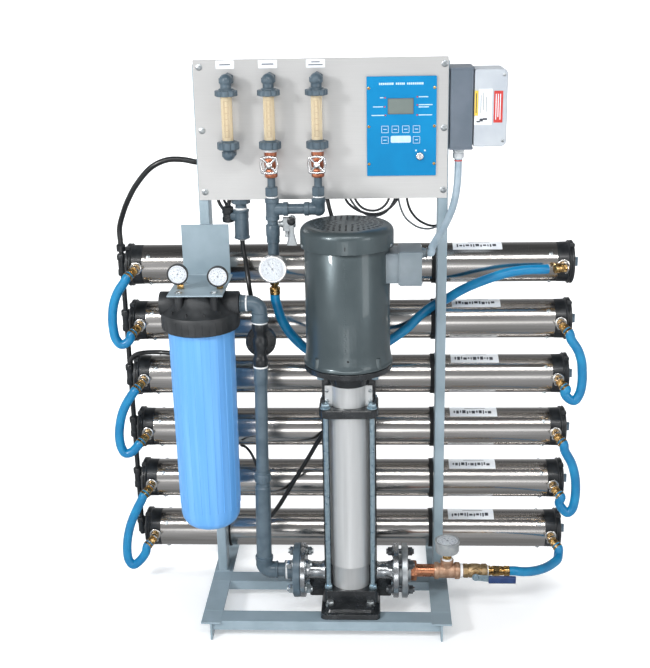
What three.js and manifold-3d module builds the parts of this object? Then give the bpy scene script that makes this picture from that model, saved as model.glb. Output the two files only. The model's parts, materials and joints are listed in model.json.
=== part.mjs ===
// Reverse osmosis unit: six 4 in x 40 in membrane housings on a welded stand, with a vertical multistage
// pump, a 20 in sediment filter, and an instrument panel with flowmeters, a controller and a motor starter.
// Millimetres, +Z up. Lengths below are laid out from the stand's own centre plane (X = 0) and the axes of
// the membrane housings (Y = 0); the whole group is then moved so that its origin is under its middle.
import * as THREE from "three";
import { mergeVertices } from "three/addons/utils/BufferGeometryUtils.js";
import Module from "manifold-3d";

const wasm = await Module();
wasm.setup();

// Driving dimensions
const GAP = 0.3; // between pieces that touch on the real unit
const STAND = { half: 316, front: -368, rear: 242, height: 51, steel: 5, flange: 50, lip: 26 };
const RAIL_FRONTS = [-360, -165]; // front edges of the two cross rails that carry the pump
const UPRIGHT = { outer: 305, wide: 25, front: -115, deep: 50, top: 1405, wall: 2 };
const PANEL = { half: 302, bottom: 1081, top: 1415, front: -118.3, steel: 3, lip: 12 };
const HOUSING = { left: -516, length: 1148, radius: 50.8, inner: 48.7, topZ: 889.6, pitch: 152.3 };
const CAP = { reach: 43, flange: 55.5, core: 48.2, boss: 9, bossReach: 5.4 };
const HOUSINGS = 6;
const ROUND = 12; // sides of a housing
const CLAMP = 55; // outer radius of a housing clamp
const PORT = { inset: 30, z: 4, y: -78, radius: 11 };
const MANIFOLD_X = -534;
const PUMP = { x: 61.5, y: -240, portZ: 130, sleeve: 51, sleeveWall: 3 };
const PUMP_Z = { foot: 66, base: 100, head: 575, headTop: 597, stool: 691, motor: 706, fan: 996, top: 1049 };
const BOLT = { x: 57, y: 40, radius: 6 };
const FLANGE = 70; // radius of the pump's pipe flanges
const FILTER = { x: -295, y: -240, collarZ: 795, headZ: 889, bottom: 266, portZ: 853 };
const METER = { y: -165, topZ: 1371, tubeTop: 1336, tubeBottom: 1229, radius: 14, bore: 10.5 };
const METER_X = [-219, -119.5, -7.5];
const HOSE = 12; // radius of the blue pressure hose
const ORIGIN = { x: (MANIFOLD_X - 12 + 645) / 2, y: (STAND.front + STAND.rear) / 2 };

// Shapes. Each gives a manifold solid.
const V = (x, y, z) => new THREE.Vector3(x, y, z);

// A closed geometry as a manifold solid: vertices merged, flat triangles dropped, faces turned outwards.
function solid(geometry) {
  const bare = new THREE.BufferGeometry().setAttribute("position", geometry.getAttribute("position"));
  const merged = mergeVertices(bare.setIndex(geometry.index), 1e-3);
  const index = merged.index.array;
  const kept = [];
  for (let i = 0; i < index.length; i += 3) {
    const [a, b, c] = [index[i], index[i + 1], index[i + 2]];
    if (a !== b && b !== c && c !== a) kept.push(a, b, c);
  }
  const make = (triangles) =>
    new wasm.Manifold(
      new wasm.Mesh({
        numProp: 3,
        vertProperties: merged.getAttribute("position").array,
        triVerts: new Uint32Array(triangles),
      }),
    );
  const made = make(kept);
  return made.volume() < 0 ? make(kept.reverse()) : made;
}

const join = (...pieces) => pieces.flat().reduce((all, piece) => all.add(piece));
const cut = (body, ...tools) => tools.flat().reduce((left, tool) => left.subtract(tool), body);

function box([x0, x1], [y0, y1], [z0, z1]) {
  const geometry = new THREE.BoxGeometry(x1 - x0, y1 - y0, z1 - z0);
  return solid(geometry.translate((x0 + x1) / 2, (y0 + y1) / 2, (z0 + z1) / 2));
}

// Turns a geometry built along +Y to run from a towards b, starting at a.
function aim(geometry, a, b) {
  const turn = new THREE.Quaternion().setFromUnitVectors(V(0, 1, 0), b.clone().sub(a).normalize());
  return geometry.applyQuaternion(turn).translate(a.x, a.y, a.z);
}

// A round bar from a to b, tapering to endRadius.
function rod(a, b, radius, sides = 10, endRadius = radius) {
  const length = a.distanceTo(b);
  const geometry = new THREE.CylinderGeometry(endRadius, radius, length, sides).translate(0, length / 2, 0);
  return solid(aim(geometry, a, b));
}

// A turned piece: [radius, distance along the axis from a] pairs.
function turned(a, b, profile, sides = ROUND) {
  const points = profile.map(([r, h]) => new THREE.Vector2(r, h));
  return solid(aim(new THREE.LatheGeometry(points, sides), a, b));
}

// A pipe from a to b, open at both ends.
function pipe(a, b, outer, inner, sides = ROUND) {
  const h = a.distanceTo(b);
  return turned(a, b, [[inner, 0], [outer, 0], [outer, h], [inner, h], [inner, 0]], sides);
}

// An outline in the XY plane, given as [x, y] corners, raised from z0 to z1.
function prism(corners, z0, z1) {
  const shape = new THREE.Shape(corners.map(([x, y]) => new THREE.Vector2(x, y)));
  return solid(new THREE.ExtrudeGeometry(shape, { depth: z1 - z0, bevelEnabled: false }).translate(0, 0, z0));
}

// A rectangle's corners, with each corner rounded by three points.
function roundedRect(cx, cy, halfX, halfY, radius) {
  const corners = [[1, 1], [-1, 1], [-1, -1], [1, -1]];
  return corners.flatMap(([sx, sy], k) =>
    [0, 0.5, 1].map((t) => {
      const angle = ((k + t) * Math.PI) / 2;
      const x = cx + sx * (halfX - radius) + radius * Math.cos(angle);
      const y = cy + sy * (halfY - radius) + radius * Math.sin(angle);
      return [x, y];
    }),
  );
}

// A hose, cable or tube of round section along a smooth curve from start to end. startWay and endWay are
// the directions in which it leaves the pieces at its two ends, and it runs straight there for one radius.
function along(start, startWay, way, end, endWay, radius, sides = 8, spacing = 5 * radius) {
  const lead = (point, direction) => point.clone().addScaledVector(direction.clone().normalize(), radius);
  const middle = way.map((p) => V(...p));
  const points = [start, lead(start, startWay), ...middle, lead(end, endWay), end];
  const path = new THREE.CatmullRomCurve3(points, false, "centripetal");
  const steps = Math.max(6, Math.round(path.getLength() / spacing));
  const shape = new THREE.Shape().absarc(0, 0, radius, 0, 2 * Math.PI);
  const section = new THREE.Shape(shape.getPoints(sides / 4).slice(0, -1));
  return solid(new THREE.ExtrudeGeometry(section, { steps, extrudePath: path, bevelEnabled: false }));
}

// Looks: colour, roughness, metalness
const FINISH = {
  framePaint: [0x93a8b4, 0.45, 0.1],
  stainless: [0xc8c6c2, 0.25, 1],
  blackPlastic: [0x1d2124, 0.5, 0],
  greyPvc: [0x5f6f7a, 0.45, 0],
  blueHose: [0x1579b8, 0.4, 0],
  bluePlastic: [0x4f9be0, 0.35, 0],
  blueFace: [0x1e88cc, 0.4, 0],
  brass: [0xb88a45, 0.35, 1],
  castIron: [0x24282a, 0.5, 0.3],
  motorPaint: [0x53636a, 0.3, 0.2],
  white: [0xe8e8e4, 0.6, 0],
  amber: [0xd9b981, 0.2, 0],
  chrome: [0xd8d8d8, 0.15, 1],
  greyPlastic: [0xb4bcc6, 0.4, 0],
  handleBlue: [0x14386e, 0.45, 0],
};

const unit = new THREE.Group();

function add(name, finish, body) {
  const mesh = body.getMesh();
  const geometry = new THREE.BufferGeometry();
  geometry.setAttribute("position", new THREE.BufferAttribute(mesh.vertProperties, 3));
  geometry.setIndex(new THREE.BufferAttribute(mesh.triVerts, 1));
  geometry.computeVertexNormals();
  const [color, roughness, metalness] = FINISH[finish];
  const part = new THREE.Mesh(geometry, new THREE.MeshStandardMaterial({ color, roughness, metalness }));
  part.name = name;
  unit.add(part);
}

// Welded stand: two tee-section runners, and cross rails with a turned-down lip.
function standFrame() {
  const top = STAND.height;
  const sheet = [top - STAND.steel, top];
  const legX = STAND.half - STAND.flange / 2;
  const runners = [-1, 1].map((side) => {
    const [inner, outer] = [side * (STAND.half - STAND.flange), side * STAND.half].sort((a, b) => a - b);
    const leg = [side * legX - STAND.steel / 2, side * legX + STAND.steel / 2];
    const run = [STAND.front, STAND.rear];
    return join(box([inner, outer], run, sheet), box(leg, run, [0, top - 1]));
  });
  const rail = (front, lipY) =>
    join(
      box([-STAND.half + 1, STAND.half - 1], [front, front + STAND.flange], sheet),
      box([-legX, legX], [lipY, lipY + STAND.steel], [top - STAND.lip, top - 1]),
    );
  const rear = STAND.rear - STAND.flange;
  return join(runners, RAIL_FRONTS.map((y) => rail(y, y)), rail(rear, STAND.rear - STAND.steel));
}

const housingZ = (i) => HOUSING.topZ - i * HOUSING.pitch;

// Rectangular tube upright with one round clamp for each housing.
function upright(side) {
  const [x0, x1] = [side * UPRIGHT.outer, side * (UPRIGHT.outer - UPRIGHT.wide)].sort((a, b) => a - b);
  const [y0, y1] = [UPRIGHT.front, UPRIGHT.front + UPRIGHT.deep];
  const t = UPRIGHT.wall;
  const post = box([x0, x1], [y0, y1], [STAND.height + GAP, UPRIGHT.top]);
  const hollow = box([x0 + t, x1 - t], [y0 + t, y1 - t], [STAND.height + 6, UPRIGHT.top + 5]);
  const clamps = Array.from({ length: HOUSINGS }, (_, i) => {
    const z = housingZ(i);
    const ring = pipe(V(x0 + 1, 0, z), V(x1 - 1, 0, z), CLAMP, HOUSING.radius + 0.4);
    return join(ring, box([x0 + 3, x1 - 3], [y1 - 1, -52], [z - 12, z + 12]));
  });
  return join(cut(post, hollow), clamps);
}

function housingShell(i) {
  const z = housingZ(i);
  const reach = CAP.reach + GAP;
  const a = V(HOUSING.left + reach, 0, z);
  const b = V(HOUSING.left + HOUSING.length - reach, 0, z);
  return pipe(a, b, HOUSING.radius, HOUSING.inner);
}

// Where the brass fitting of housing i ends on its left (-1) or right (1) cap, and which way it points.
function fittingEnd(i, side) {
  const x = side < 0 ? HOUSING.left + PORT.inset : HOUSING.left + HOUSING.length - PORT.inset;
  const from = V(x, PORT.y, housingZ(i) + PORT.z);
  const straight = i === 0 && side > 0;
  const end = from.clone().add(straight ? V(-45, -12, 0) : V(side * 9, -12, -8));
  return { from, end, way: end.clone().sub(from).normalize() };
}

// Spiral-wound membrane with the end caps that hold it in its housing, and the caps' hose fittings.
function membraneElement(i) {
  const z = housingZ(i);
  const cap = [
    [CAP.flange - 7, 0],
    [CAP.flange, 4],
    [CAP.flange, 12],
    [HOUSING.radius, 16],
    [HOUSING.radius, CAP.reach],
    [CAP.core, CAP.reach],
  ];
  const far = [...cap].reverse().map(([r, h]) => [r, HOUSING.length - h]);
  const boss = [[0, -CAP.bossReach], [CAP.boss, -CAP.bossReach], [CAP.boss, 0]];
  const plug = [[CAP.boss, HOUSING.length], [CAP.boss, HOUSING.length + 13], [0, HOUSING.length + 13]];
  const left = V(HOUSING.left, 0, z);
  const core = turned(left, V(0, 0, z), [...boss, ...cap, ...far, ...plug]);
  const fittings = [-1, 1].map((side) => {
    const { from, end } = fittingEnd(i, side);
    return join(rod(V(from.x, -44, from.z), from, PORT.radius, 7), rod(from, end, PORT.radius - 1, 7));
  });
  return join(core, fittings);
}

// Blue hoses between caps: the points between the two fittings, from one end to the other.
const HOSE_ROUTES = {
  hose_left_1_2: { from: [0, -1], to: [1, -1], way: [
    [-509, -100, 868], [-525, -101, 846], [-538, -101, 817], [-545, -101, 783], [-546, -101, 748],
    [-541, -101, 718], [-529, -101, 703], [-514, -100, 707], [-503, -98, 720],
  ] },
  hose_left_3_4: { from: [2, -1], to: [3, -1], way: [
    [-509, -100, 566], [-524, -101, 544], [-539, -101, 514], [-549, -101, 478], [-553, -101, 445],
    [-550, -101, 415], [-540, -101, 397], [-524, -101, 400], [-508, -99, 415],
  ] },
  hose_left_5_6: { from: [4, -1], to: [5, -1], way: [
    [-506, -100, 260], [-524, -101, 226], [-542, -101, 184], [-553, -101, 141], [-557, -101, 105],
    [-554, -101, 76], [-543, -101, 62], [-526, -101, 73], [-507, -99, 98],
  ] },
  hose_right_2_3: { from: [1, 1], to: [2, 1], way: [
    [622, -100, 712], [639, -101, 686], [650, -101, 657], [654, -101, 626], [655, -101, 594],
    [650, -101, 564], [638, -101, 546], [623, -100, 552], [613, -98, 567],
  ] },
  hose_right_4_5: { from: [3, 1], to: [4, 1], way: [
    [620, -100, 407], [639, -101, 371], [650, -101, 334], [654, -101, 297], [653, -101, 263],
    [647, -101, 236], [636, -101, 226], [622, -100, 237], [613, -98, 254],
  ] },
};
const FEED_ROUTE = [
  [617, -104, 104], [613, -118, 97], [596, -142, 96], [566, -180, 103], [531, -212, 113], [500, -233, 124],
];
const RETURN_ROUTE = [
  [-116, -165, 826], [-107, -160, 790], [-88, -150, 750], [-62, -136, 714], [-32, -118, 684],
  [10, -101, 662], [61, -92, 656], [113, -88, 674], [166, -82, 706], [208, -74, 735], [242, -62, 765],
  [275, -50, 788], [310, -50, 806], [342, -62, 830], [377, -77, 852], [420, -88, 872], [464, -93, 887],
  [510, -93, 893],
];
const OUTLET_END = 470;
const COLUMN_FOOT = 854;

// A hose leaves a cap's fitting in line with it, GAP away.
function capEnd([i, side]) {
  const { end, way } = fittingEnd(i, side);
  return [end.clone().addScaledVector(way, GAP), way];
}

function capToCap({ from, to, way }) {
  return along(...capEnd(from), way, ...capEnd(to), HOSE);
}

// Permeate collecting line: a vertical tube with a tee at the centre of each left cap.
function permeateManifold() {
  const x = MANIFOLD_X;
  const tees = Array.from({ length: HOUSINGS }, (_, i) => {
    const z = housingZ(i);
    const branchEnd = V(HOUSING.left - CAP.bossReach - GAP, 0, z);
    return join(rod(V(x, 0, z - 28), V(x, 0, z + 28), 12, 10), rod(V(x, 0, z), branchEnd, CAP.boss, 10));
  });
  return join(rod(V(x, 0, housingZ(HOUSINGS - 1) - 20), V(x, 0, 945), 7, 10), tees);
}

const PERMEATE_ROUTE = [
  [-534, 0, 985], [-520, -10, 1026], [-500, -24, 1066], [-474, -36, 1106], [-430, -48, 1152],
  [-389, -50, 1170], [-350, -48, 1170], [-316, -45, 1163], [-290, -46, 1163], [-268, -60, 1175],
  [-254, -88, 1194],
];

// Flowmeter: bulkhead elbow, union nuts and a clear tube with the float's bore down its middle.
function flowmeter(x, endsInElbow) {
  const { y, topZ, tubeTop, tubeBottom, radius, bore } = METER;
  const throughPanel = (z) => [
    rod(V(x, y, z), V(x, PANEL.front - GAP, z), radius + 2),
    rod(V(x, y, z), V(x, -97, z), 10),
    rod(V(x, PANEL.front + PANEL.steel + GAP, z), V(x, -103, z), radius + 2, 6),
  ];
  const meter = join(
    throughPanel(topZ),
    rod(V(x, y, tubeTop), V(x, y, topZ + 3), radius + 1),
    rod(V(x, y, tubeTop), V(x, y, tubeTop + 15), 26),
    rod(V(x, y, tubeBottom - 1), V(x, y, tubeTop + 1), radius),
    rod(V(x, y, tubeBottom - 19), V(x, y, tubeBottom), 25.5),
    endsInElbow ? [rod(V(x, y, 1197), V(x, y, tubeBottom), radius + 1), ...throughPanel(1200)] : [],
    endsInElbow ? rod(V(x, -104, 1200), V(x - 21, -104, 1200), 9) : [],
  );
  return cut(
    meter,
    rod(V(x, y, tubeBottom), V(x, y, tubeTop), bore),
    rod(V(x, y, 1150), V(x, y, tubeBottom + 1), 4, 8),
  );
}

function flowmeterFloat(x) {
  const a = V(x, METER.y, METER.tubeBottom + 3);
  return turned(a, V(x, METER.y, 2000), [[0, 0], [5, 0], [8, 14], [8, 20], [3, 22], [0, 22]], 10);
}

const VALVE_Z = 1180;
const WHEEL = { y: -214, thick: 7, radius: 27, hub: 8 };

// Four-lobed handwheel on its stem, turning about a line along Y.
function handwheel(x) {
  const ring = pipe(V(x, WHEEL.y, VALVE_Z), V(x, WHEEL.y + WHEEL.thick, VALVE_Z), WHEEL.radius, 20);
  const arm = (dx, dz) =>
    box([x - dx, x + dx], [WHEEL.y + 1, WHEEL.y + WHEEL.thick - 1], [VALVE_Z - dz, VALVE_Z + dz]);
  const hub = rod(V(x, WHEEL.y - 2, VALVE_Z), V(x, WHEEL.y + 20, VALVE_Z), WHEEL.hub, 10);
  return join(ring, arm(22, 3.5), arm(3.5, 22), hub);
}

// Pipework under the flowmeters: two globe valves, the tee between them and the column to the gauge.
function panelPipework() {
  const y = METER.y;
  const [, a, b] = METER_X;
  const leg = (x) => [
    rod(V(x, y, 1143), V(x, y, METER.tubeBottom - 19 - GAP), 16),
    rod(V(x, y, VALVE_Z), V(x, WHEEL.y + 20 + GAP, VALVE_Z), 12),
    rod(V(x, y, 1067), V(x, y, 1145), 13),
    rod(V(x, y, 1099), V(x, y, 1121), 16, 6),
    rod(V(x, y, 1050), V(x, y, 1094), 17),
  ];
  return join(
    leg(a),
    leg(b),
    rod(V(a, y, 1067), V(b, y, 1067), 13),
    rod(V(a, y, 1067), V(a + 38, y, 1067), 17),
    rod(V(b - 34, y, 1067), V(b + 2, y, 1067), 17),
    rod(V(a, y, 985), V(a, y, 1055), 17),
    rod(V(a, y, 945), V(a, y, 990), 14),
    rod(V(a, y, 895), V(a, y, 950), 16),
    rod(V(a, y, COLUMN_FOOT), V(a, y, 900), 10),
    rod(V(a, y, GAUGE.z), V(a, y - 21, GAUGE.z), 9),
    rod(V(a, GAUGE.back, GAUGE.z), V(a, GAUGE.back - 28, GAUGE.z), GAUGE.radius, 16),
    sampleValve(a, y),
  );
}

const SAMPLE = { x: -72, y: -190, z: 1043 };

function sampleValve(a, y) {
  return [
    rod(V(a, y, 1030), V(-86, y, 1030), 7, 8),
    box([-98, -64], [y - 9, y + 9], [1012, 1050]),
    rod(V(-84, y, 998), V(-84, y, 1014), 6, 8),
    rod(V(SAMPLE.x, y, SAMPLE.z), V(SAMPLE.x, SAMPLE.y + GAP, SAMPLE.z), 4, 8),
  ];
}

function sampleLever() {
  const { x, y, z } = SAMPLE;
  const wing = prism([[-5, 0], [5, 0], [9, -52], [13, -60], [-11, -60], [-8, -52]], 0, 3);
  const upright = wing.rotate([90, 0, 0]).translate([x, y - 2, z]);
  return join(rod(V(x, y - 9, z), V(x, y, z), 10.5), upright);
}

const GAUGE = { z: 929, radius: 34, back: -185 };

// Permeate outlet behind the panel: a bulkhead tee with its pressure switch.
const OUTLET_TEE = { x: -204, y: -92, bottom: 978 };

function permeateOutlet() {
  const { x, y, bottom } = OUTLET_TEE;
  return join(
    rod(V(x, y, bottom), V(x, y, 1056), 19),
    rod(V(x, y, 1050), V(x, y, 1110), 11),
    rod(V(x, y, 1068), V(x, y, 1082), 22, 6),
    rod(V(x, y, 1040), V(x - 36, y, 1040), 12),
    rod(V(x - 34, y, 1022), V(x - 34, y, 1060), 15, 10),
  );
}

const SENSOR_ROUTE = [
  [-203, -92, 955], [-198, -94, 920], [-193, -102, 885], [-188, -118, 855], [-178, -150, 828],
  [-166, -180, 806],
];

// Filter: bracket, head with its two pipe bosses and collar, sump, cartridge and gauges.
function filterBracket() {
  const x = FILTER.x;
  const back = UPRIGHT.front - GAP;
  return join(
    box([x - 57, x + 61], [back - 4, back], [FILTER.headZ + GAP, 1020]),
    box([x - 55, x + 55], [-300, back - 1], [FILTER.headZ + GAP, FILTER.headZ + 4]),
  );
}

function filterHead() {
  const { x, y, collarZ, headZ, portZ } = FILTER;
  const foot = V(x, y, collarZ);
  const crown = headZ - collarZ - 4;
  const bowl = [[0, 0], [93, 0], [94, 8], [91, 42], [82, 48], [70, 62], [60, crown], [0, crown]];
  return join(
    turned(foot, V(x, y, headZ), bowl, 20),
    rod(V(x - 96, y, portZ), V(x + 96, y, portZ), 30, 14),
    box([x - 60, x + 60], [y - 42, y + 42], [headZ - 20, headZ]),
  );
}

function filterSump() {
  const { x, y, collarZ, bottom } = FILTER;
  const h = collarZ - GAP - bottom;
  const outside = [[0, 0], [40, 3], [66, 18], [75, 45], [76, 100], [80, h]];
  const inside = [[74, h], [70, 100], [69, 48], [58, 24], [0, 12]];
  return turned(V(x, y, bottom), V(x, y, collarZ), [...outside, ...inside], 20);
}

function filterCartridge() {
  const { x, y, collarZ } = FILTER;
  return rod(V(x, y, 293), V(x, y, collarZ - GAP), 57, 14);
}

function filterGauge(x, z) {
  const back = -262;
  const shelf = FILTER.headZ + 4 + GAP;
  return join(
    rod(V(x, back, z), V(x, back - 20, z), 26, 18),
    rod(V(x, back - 1, z), V(x, -246, z), 6, 8),
    rod(V(x, -250, shelf), V(x, -250, z + 5), 6, 8),
  );
}

// Pump: cast base with pipe ports, sleeve, head with motor stool and staybolts, guard and rotor.
function pumpBase() {
  const { x, y, portZ } = PUMP;
  const foot = STAND.height + GAP;
  return join(
    prism(roundedRect(x, y, 76, 112, 14), foot, PUMP_Z.foot),
    prism(roundedRect(x, y, 73, 58, 16), foot + 2, PUMP_Z.base),
    rod(V(x - 116, y, portZ), V(x - PUMP.sleeve - 2, y, portZ), 22),
    rod(V(x + PUMP.sleeve + 2, y, portZ), V(x + 122, y, portZ), 22),
    rod(V(-68, y, portZ), V(-54, y, portZ), FLANGE, 16),
    rod(V(170, y, portZ), V(185, y, portZ), FLANGE, 16),
    cut(
      pipe(V(x, y, PUMP_Z.base - 1), V(x, y, 156), 56, PUMP.sleeve + 0.5),
      box([x - 60, x + 60], [y - 60, y - 24], [PUMP_Z.base, 160]),
    ),
  );
}

function pumpSleeve() {
  const { x, y, sleeve, sleeveWall } = PUMP;
  const [z0, z1] = [PUMP_Z.base + GAP, PUMP_Z.head - GAP];
  return pipe(V(x, y, z0), V(x, y, z1), sleeve, sleeve - sleeveWall);
}

function motorStool() {
  const { x, y } = PUMP;
  const { head, headTop, stool, motor, base } = PUMP_Z;
  const legs = [-1, 1].map((side) => {
    const [x0, x1] = [x + side * 46, x + side * 62].sort((a, b) => a - b);
    return box([x0, x1], [y - 22, y + 22], [headTop - 1, 665]);
  });
  const cone = [[0, 0], [50, 0], [66, stool - 651], [105, stool - 651], [105, motor - 651], [0, motor - 651]];
  const bolts = [-1, 1].flatMap((sx) =>
    [-1, 1].map((sy) => {
      const [bx, by] = [x + sx * BOLT.x, y + sy * BOLT.y];
      return rod(V(bx, by, base + GAP), V(bx, by, headTop + 9), BOLT.radius, 8);
    }),
  );
  const casting = join(
    prism(roundedRect(x, y, 73, 58, 24), head, headTop),
    legs,
    turned(V(x, y, 651), V(x, y, 2000), cone, 20),
    bolts,
  );
  return cut(casting, rod(V(x, y, head - 5), V(x, y, motor + 5), 16));
}

function couplingGuard() {
  const { x, y } = PUMP;
  const tab = 58;
  const bend = Math.asin(25.5 / 48);
  const arc = (radius, from, to) =>
    Array.from({ length: 9 }, (_, k) => {
      const angle = from + ((to - from) * k) / 8;
      return [x + radius * Math.cos(angle), y + radius * Math.sin(angle)];
    });
  const outer = arc(48, -Math.PI + bend, -bend);
  const inner = arc(46.4, -bend - 0.02, -Math.PI + bend + 0.02);
  const [front, back] = [y - 25.5, y - 24];
  const corners = [[x - tab, front], ...outer, [x + tab, front], [x + tab, back], ...inner, [x - tab, back]];
  return prism(corners, PUMP_Z.headTop + GAP, 650.5);
}

function pumpRotor() {
  const { x, y } = PUMP;
  const stages = Array.from({ length: 5 }, (_, k) => 150 + k * 80).flatMap((z) => [
    [9, z],
    [36, z],
    [36, z + 30],
    [9, z + 30],
  ]);
  const drive = [[9, 602], [24, 602], [24, 649], [12, 649], [12, 1003], [80, 1003], [80, 1015], [8, 1015]];
  return turned(V(x, y, 0), V(x, y, 1), [[0, 115], [9, 115], ...stages, ...drive, [8, 1026], [0, 1026]], 10);
}

// Motor: finned-less painted body with a conduit box on its right, and the fan cover over it.
const CONDUIT_BOX = { x: [183, 237], y: [-290, -190], z: [906, 988] };

function motorBody() {
  const { x, y } = PUMP;
  const { motor, fan } = PUMP_Z;
  const z0 = motor + GAP;
  const profile = [[0, 0], [110, 0], [110, 10], [101.5, 42], [101.5, fan - GAP - z0], [0, fan - GAP - z0]];
  const casing = join(
    turned(V(x, y, z0), V(x, y, 2000), profile, 20),
    box([150, 184], [-284, -196], [911, 983]),
    box(CONDUIT_BOX.x, CONDUIT_BOX.y, CONDUIT_BOX.z),
    rod(V(236, y, 974), V(250, y, 974), 13, 8),
  );
  return cut(casing, rod(V(x, y, motor - 5), V(x, y, fan + 5), 17));
}

function fanCover() {
  const { x, y } = PUMP;
  const { fan, top } = PUMP_Z;
  const wall = 3;
  const outside = [[110.5, fan], [110.5, top - 22], [107.5, top - 10], [99, top - 2.5], [86, top], [0, top]];
  const inside = outside.map(([r, z]) => [Math.max(r - wall, 0), z - (z > fan ? wall : 0)]).reverse();
  return turned(V(x, y, 0), V(x, y, 1), [...inside, ...outside], 20);
}

const CONDUIT_ROUTE = [
  [330, -91, 1150], [329, -96, 1123], [325, -106, 1090], [316, -124, 1058], [303, -146, 1033],
  [288, -172, 1012], [273, -203, 996], [262, -228, 983],
];

// Feed side: from the filter head through the inlet valve and down to the pump's left flange.
const FEED = { topX: -151, footX: -164, y: -240 };

const feedX = (z) => {
  const t = (FILTER.portZ - z) / (FILTER.portZ - PUMP.portZ);
  return FEED.topX + (FEED.footX - FEED.topX) * t;
};
const feedRod = (z0, z1, radius, sides) =>
  rod(V(feedX(z0), FEED.y, z0), V(feedX(z1), FEED.y, z1), radius, sides);

const VALVE = { bottom: 692, top: 806 };

function inletElbow() {
  const { portZ } = FILTER;
  return join(
    rod(V(FILTER.x + 96 + GAP, FEED.y, portZ), V(FEED.topX + 2, FEED.y, portZ), 21),
    feedRod(VALVE.top + GAP, portZ + 14, 21),
  );
}

function inletValve() {
  const { bottom, top } = VALVE;
  const z = 750;
  const x = feedX(z);
  return join(
    feedRod(bottom, top, 18),
    rod(V(x, FEED.y + 10, z), V(x, FEED.y + 36, z), 37, 18),
    box([x - 16, x + 16], [FEED.y + 34, FEED.y + 66], [z - 16, z + 34]),
  );
}

function inletPipework() {
  const { portZ } = PUMP;
  return join(
    feedRod(645, VALVE.bottom - GAP, 17.5),
    feedRod(400, 650, 16),
    feedRod(366, 413, 18),
    feedRod(portZ, 370, 20),
    feedRod(portZ - 16, portZ + 40, 23),
    rod(V(FEED.footX, FEED.y, portZ), V(-84, FEED.y, portZ), 20),
    rod(V(-86, FEED.y, portZ), V(-68 - GAP, FEED.y, portZ), FLANGE, 16),
  );
}

// Delivery side: flange, nipple, gauge tee, ball valve and hose fitting, with the valve's lever.
const LEVER = { x: 381, y: -272 };

function outletPipework() {
  const { y, portZ: z } = PUMP;
  return join(
    rod(V(185 + GAP, y, z), V(193, y, z), 40),
    rod(V(192, y, z), V(208, y, z), FLANGE, 16),
    rod(V(207, y, z), V(231, y, z), 27, 8),
    rod(V(230, y, z), V(280, y, z), 16.5),
    rod(V(278, y, z), V(341, y, z), 22),
    rod(V(309, y, z), V(309, y, z + 32), 17),
    rod(V(309, y, z + 30), V(309, y, z + 56), 8, 8),
    rod(V(309, y, z + 55), V(309, y, z + 88), 32, 18),
    rod(V(340, y, z), V(350, y, z), 17),
    rod(V(349, y, z), V(413, y, z), 19, 8),
    rod(V(412, y, z), V(OUTLET_END, y, z), 12),
    rod(V(LEVER.x, y, z), V(LEVER.x, LEVER.y + GAP, z), 7, 8),
  );
}

function outletLever() {
  const z = PUMP.portZ;
  const { x, y } = LEVER;
  return join(
    rod(V(x, y - 6, z), V(x, y, z), 10),
    box([x, x + 40], [y - 4, y - 1], [z - 9, z + 6]),
    box([x + 32, x + 102], [y - 10, y + 1], [z - 15, z + 5]),
  );
}

// Instrument panel, controller and motor starter.
const CONTROLLER = { x: [109, 274.5], z: [1137, 1372], face: -124, cutX: [123, 261], cutZ: [1158, 1352] };

function instrumentPanel() {
  const { half, bottom, top, front, steel, lip } = PANEL;
  const sheet = join(
    box([-half, half], [front, front + steel], [bottom, top]),
    box([-half, half], [front, front + lip], [top - 2, top]),
  );
  const through = [front - 5, front + steel + 5];
  const hole = (x, z) => rod(V(x, through[0], z), V(x, through[1], z), 10.5);
  return cut(
    sheet,
    box(CONTROLLER.cutX, through, CONTROLLER.cutZ),
    METER_X.map((x) => hole(x, METER.topZ)),
    hole(METER_X[0], 1200),
  );
}

function controller() {
  const { x, z, face, cutX, cutZ } = CONTROLLER;
  const inset = ([low, high]) => [low + 2, high - 2];
  return join(box(x, [face, PANEL.front - GAP], z), box(inset(cutX), [face + 1, -66], inset(cutZ)));
}

const KEY = { x: 235.5, z: 1184, radius: 10 };

function keySwitch() {
  const back = CONTROLLER.face - GAP;
  const { x, z, radius } = KEY;
  return join(
    rod(V(x, back, z), V(x, back - 5, z), radius),
    box([x - 2, x + 2], [back - 10, back - 4], [z - 7, z + 7]),
  );
}

const STARTER = { x: [305.3, 362], y: [-128, -18], z: [1196, 1392], gland: V(330, -91, 1196) };

function starterBox() {
  const { x, y, z, gland } = STARTER;
  return join(box(x, y, z), rod(gland.clone().setZ(1197), gland.clone().setZ(1172), 14, 10));
}

function starterCover() {
  const left = 362 + GAP;
  const right = [[430, 1204], [438, 1208], [441, 1217], [441, 1376], [437, 1383], [430, 1386]];
  const corners = [[left, 1204], ...right, [left, 1386]];
  return prism(corners, 24, 122).rotate([90, 0, 0]);
}

add("base_frame", "framePaint", standFrame());
add("left_upright", "framePaint", upright(-1));
add("right_upright", "framePaint", upright(1));
add("instrument_panel", "stainless", instrumentPanel());
for (let i = 0; i < HOUSINGS; i += 1) {
  add(`housing_shell_${i + 1}`, "stainless", housingShell(i));
  add(`membrane_element_${i + 1}`, "blackPlastic", membraneElement(i));
}
for (const [name, route] of Object.entries(HOSE_ROUTES)) add(name, "blueHose", capToCap(route));
const valveEnd = V(OUTLET_END + GAP, PUMP.y, PUMP.portZ);
const lastCap = capEnd([HOUSINGS - 1, 1]);
add("hose_pump_outlet", "blueHose", along(...lastCap, FEED_ROUTE, valveEnd, V(1, 0, 0), HOSE));
const columnEnd = V(METER_X[1], METER.y, COLUMN_FOOT - GAP);
add("hose_concentrate", "blueHose", along(columnEnd, V(0, 0, -1), RETURN_ROUTE, ...capEnd([0, 1]), HOSE));
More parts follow.
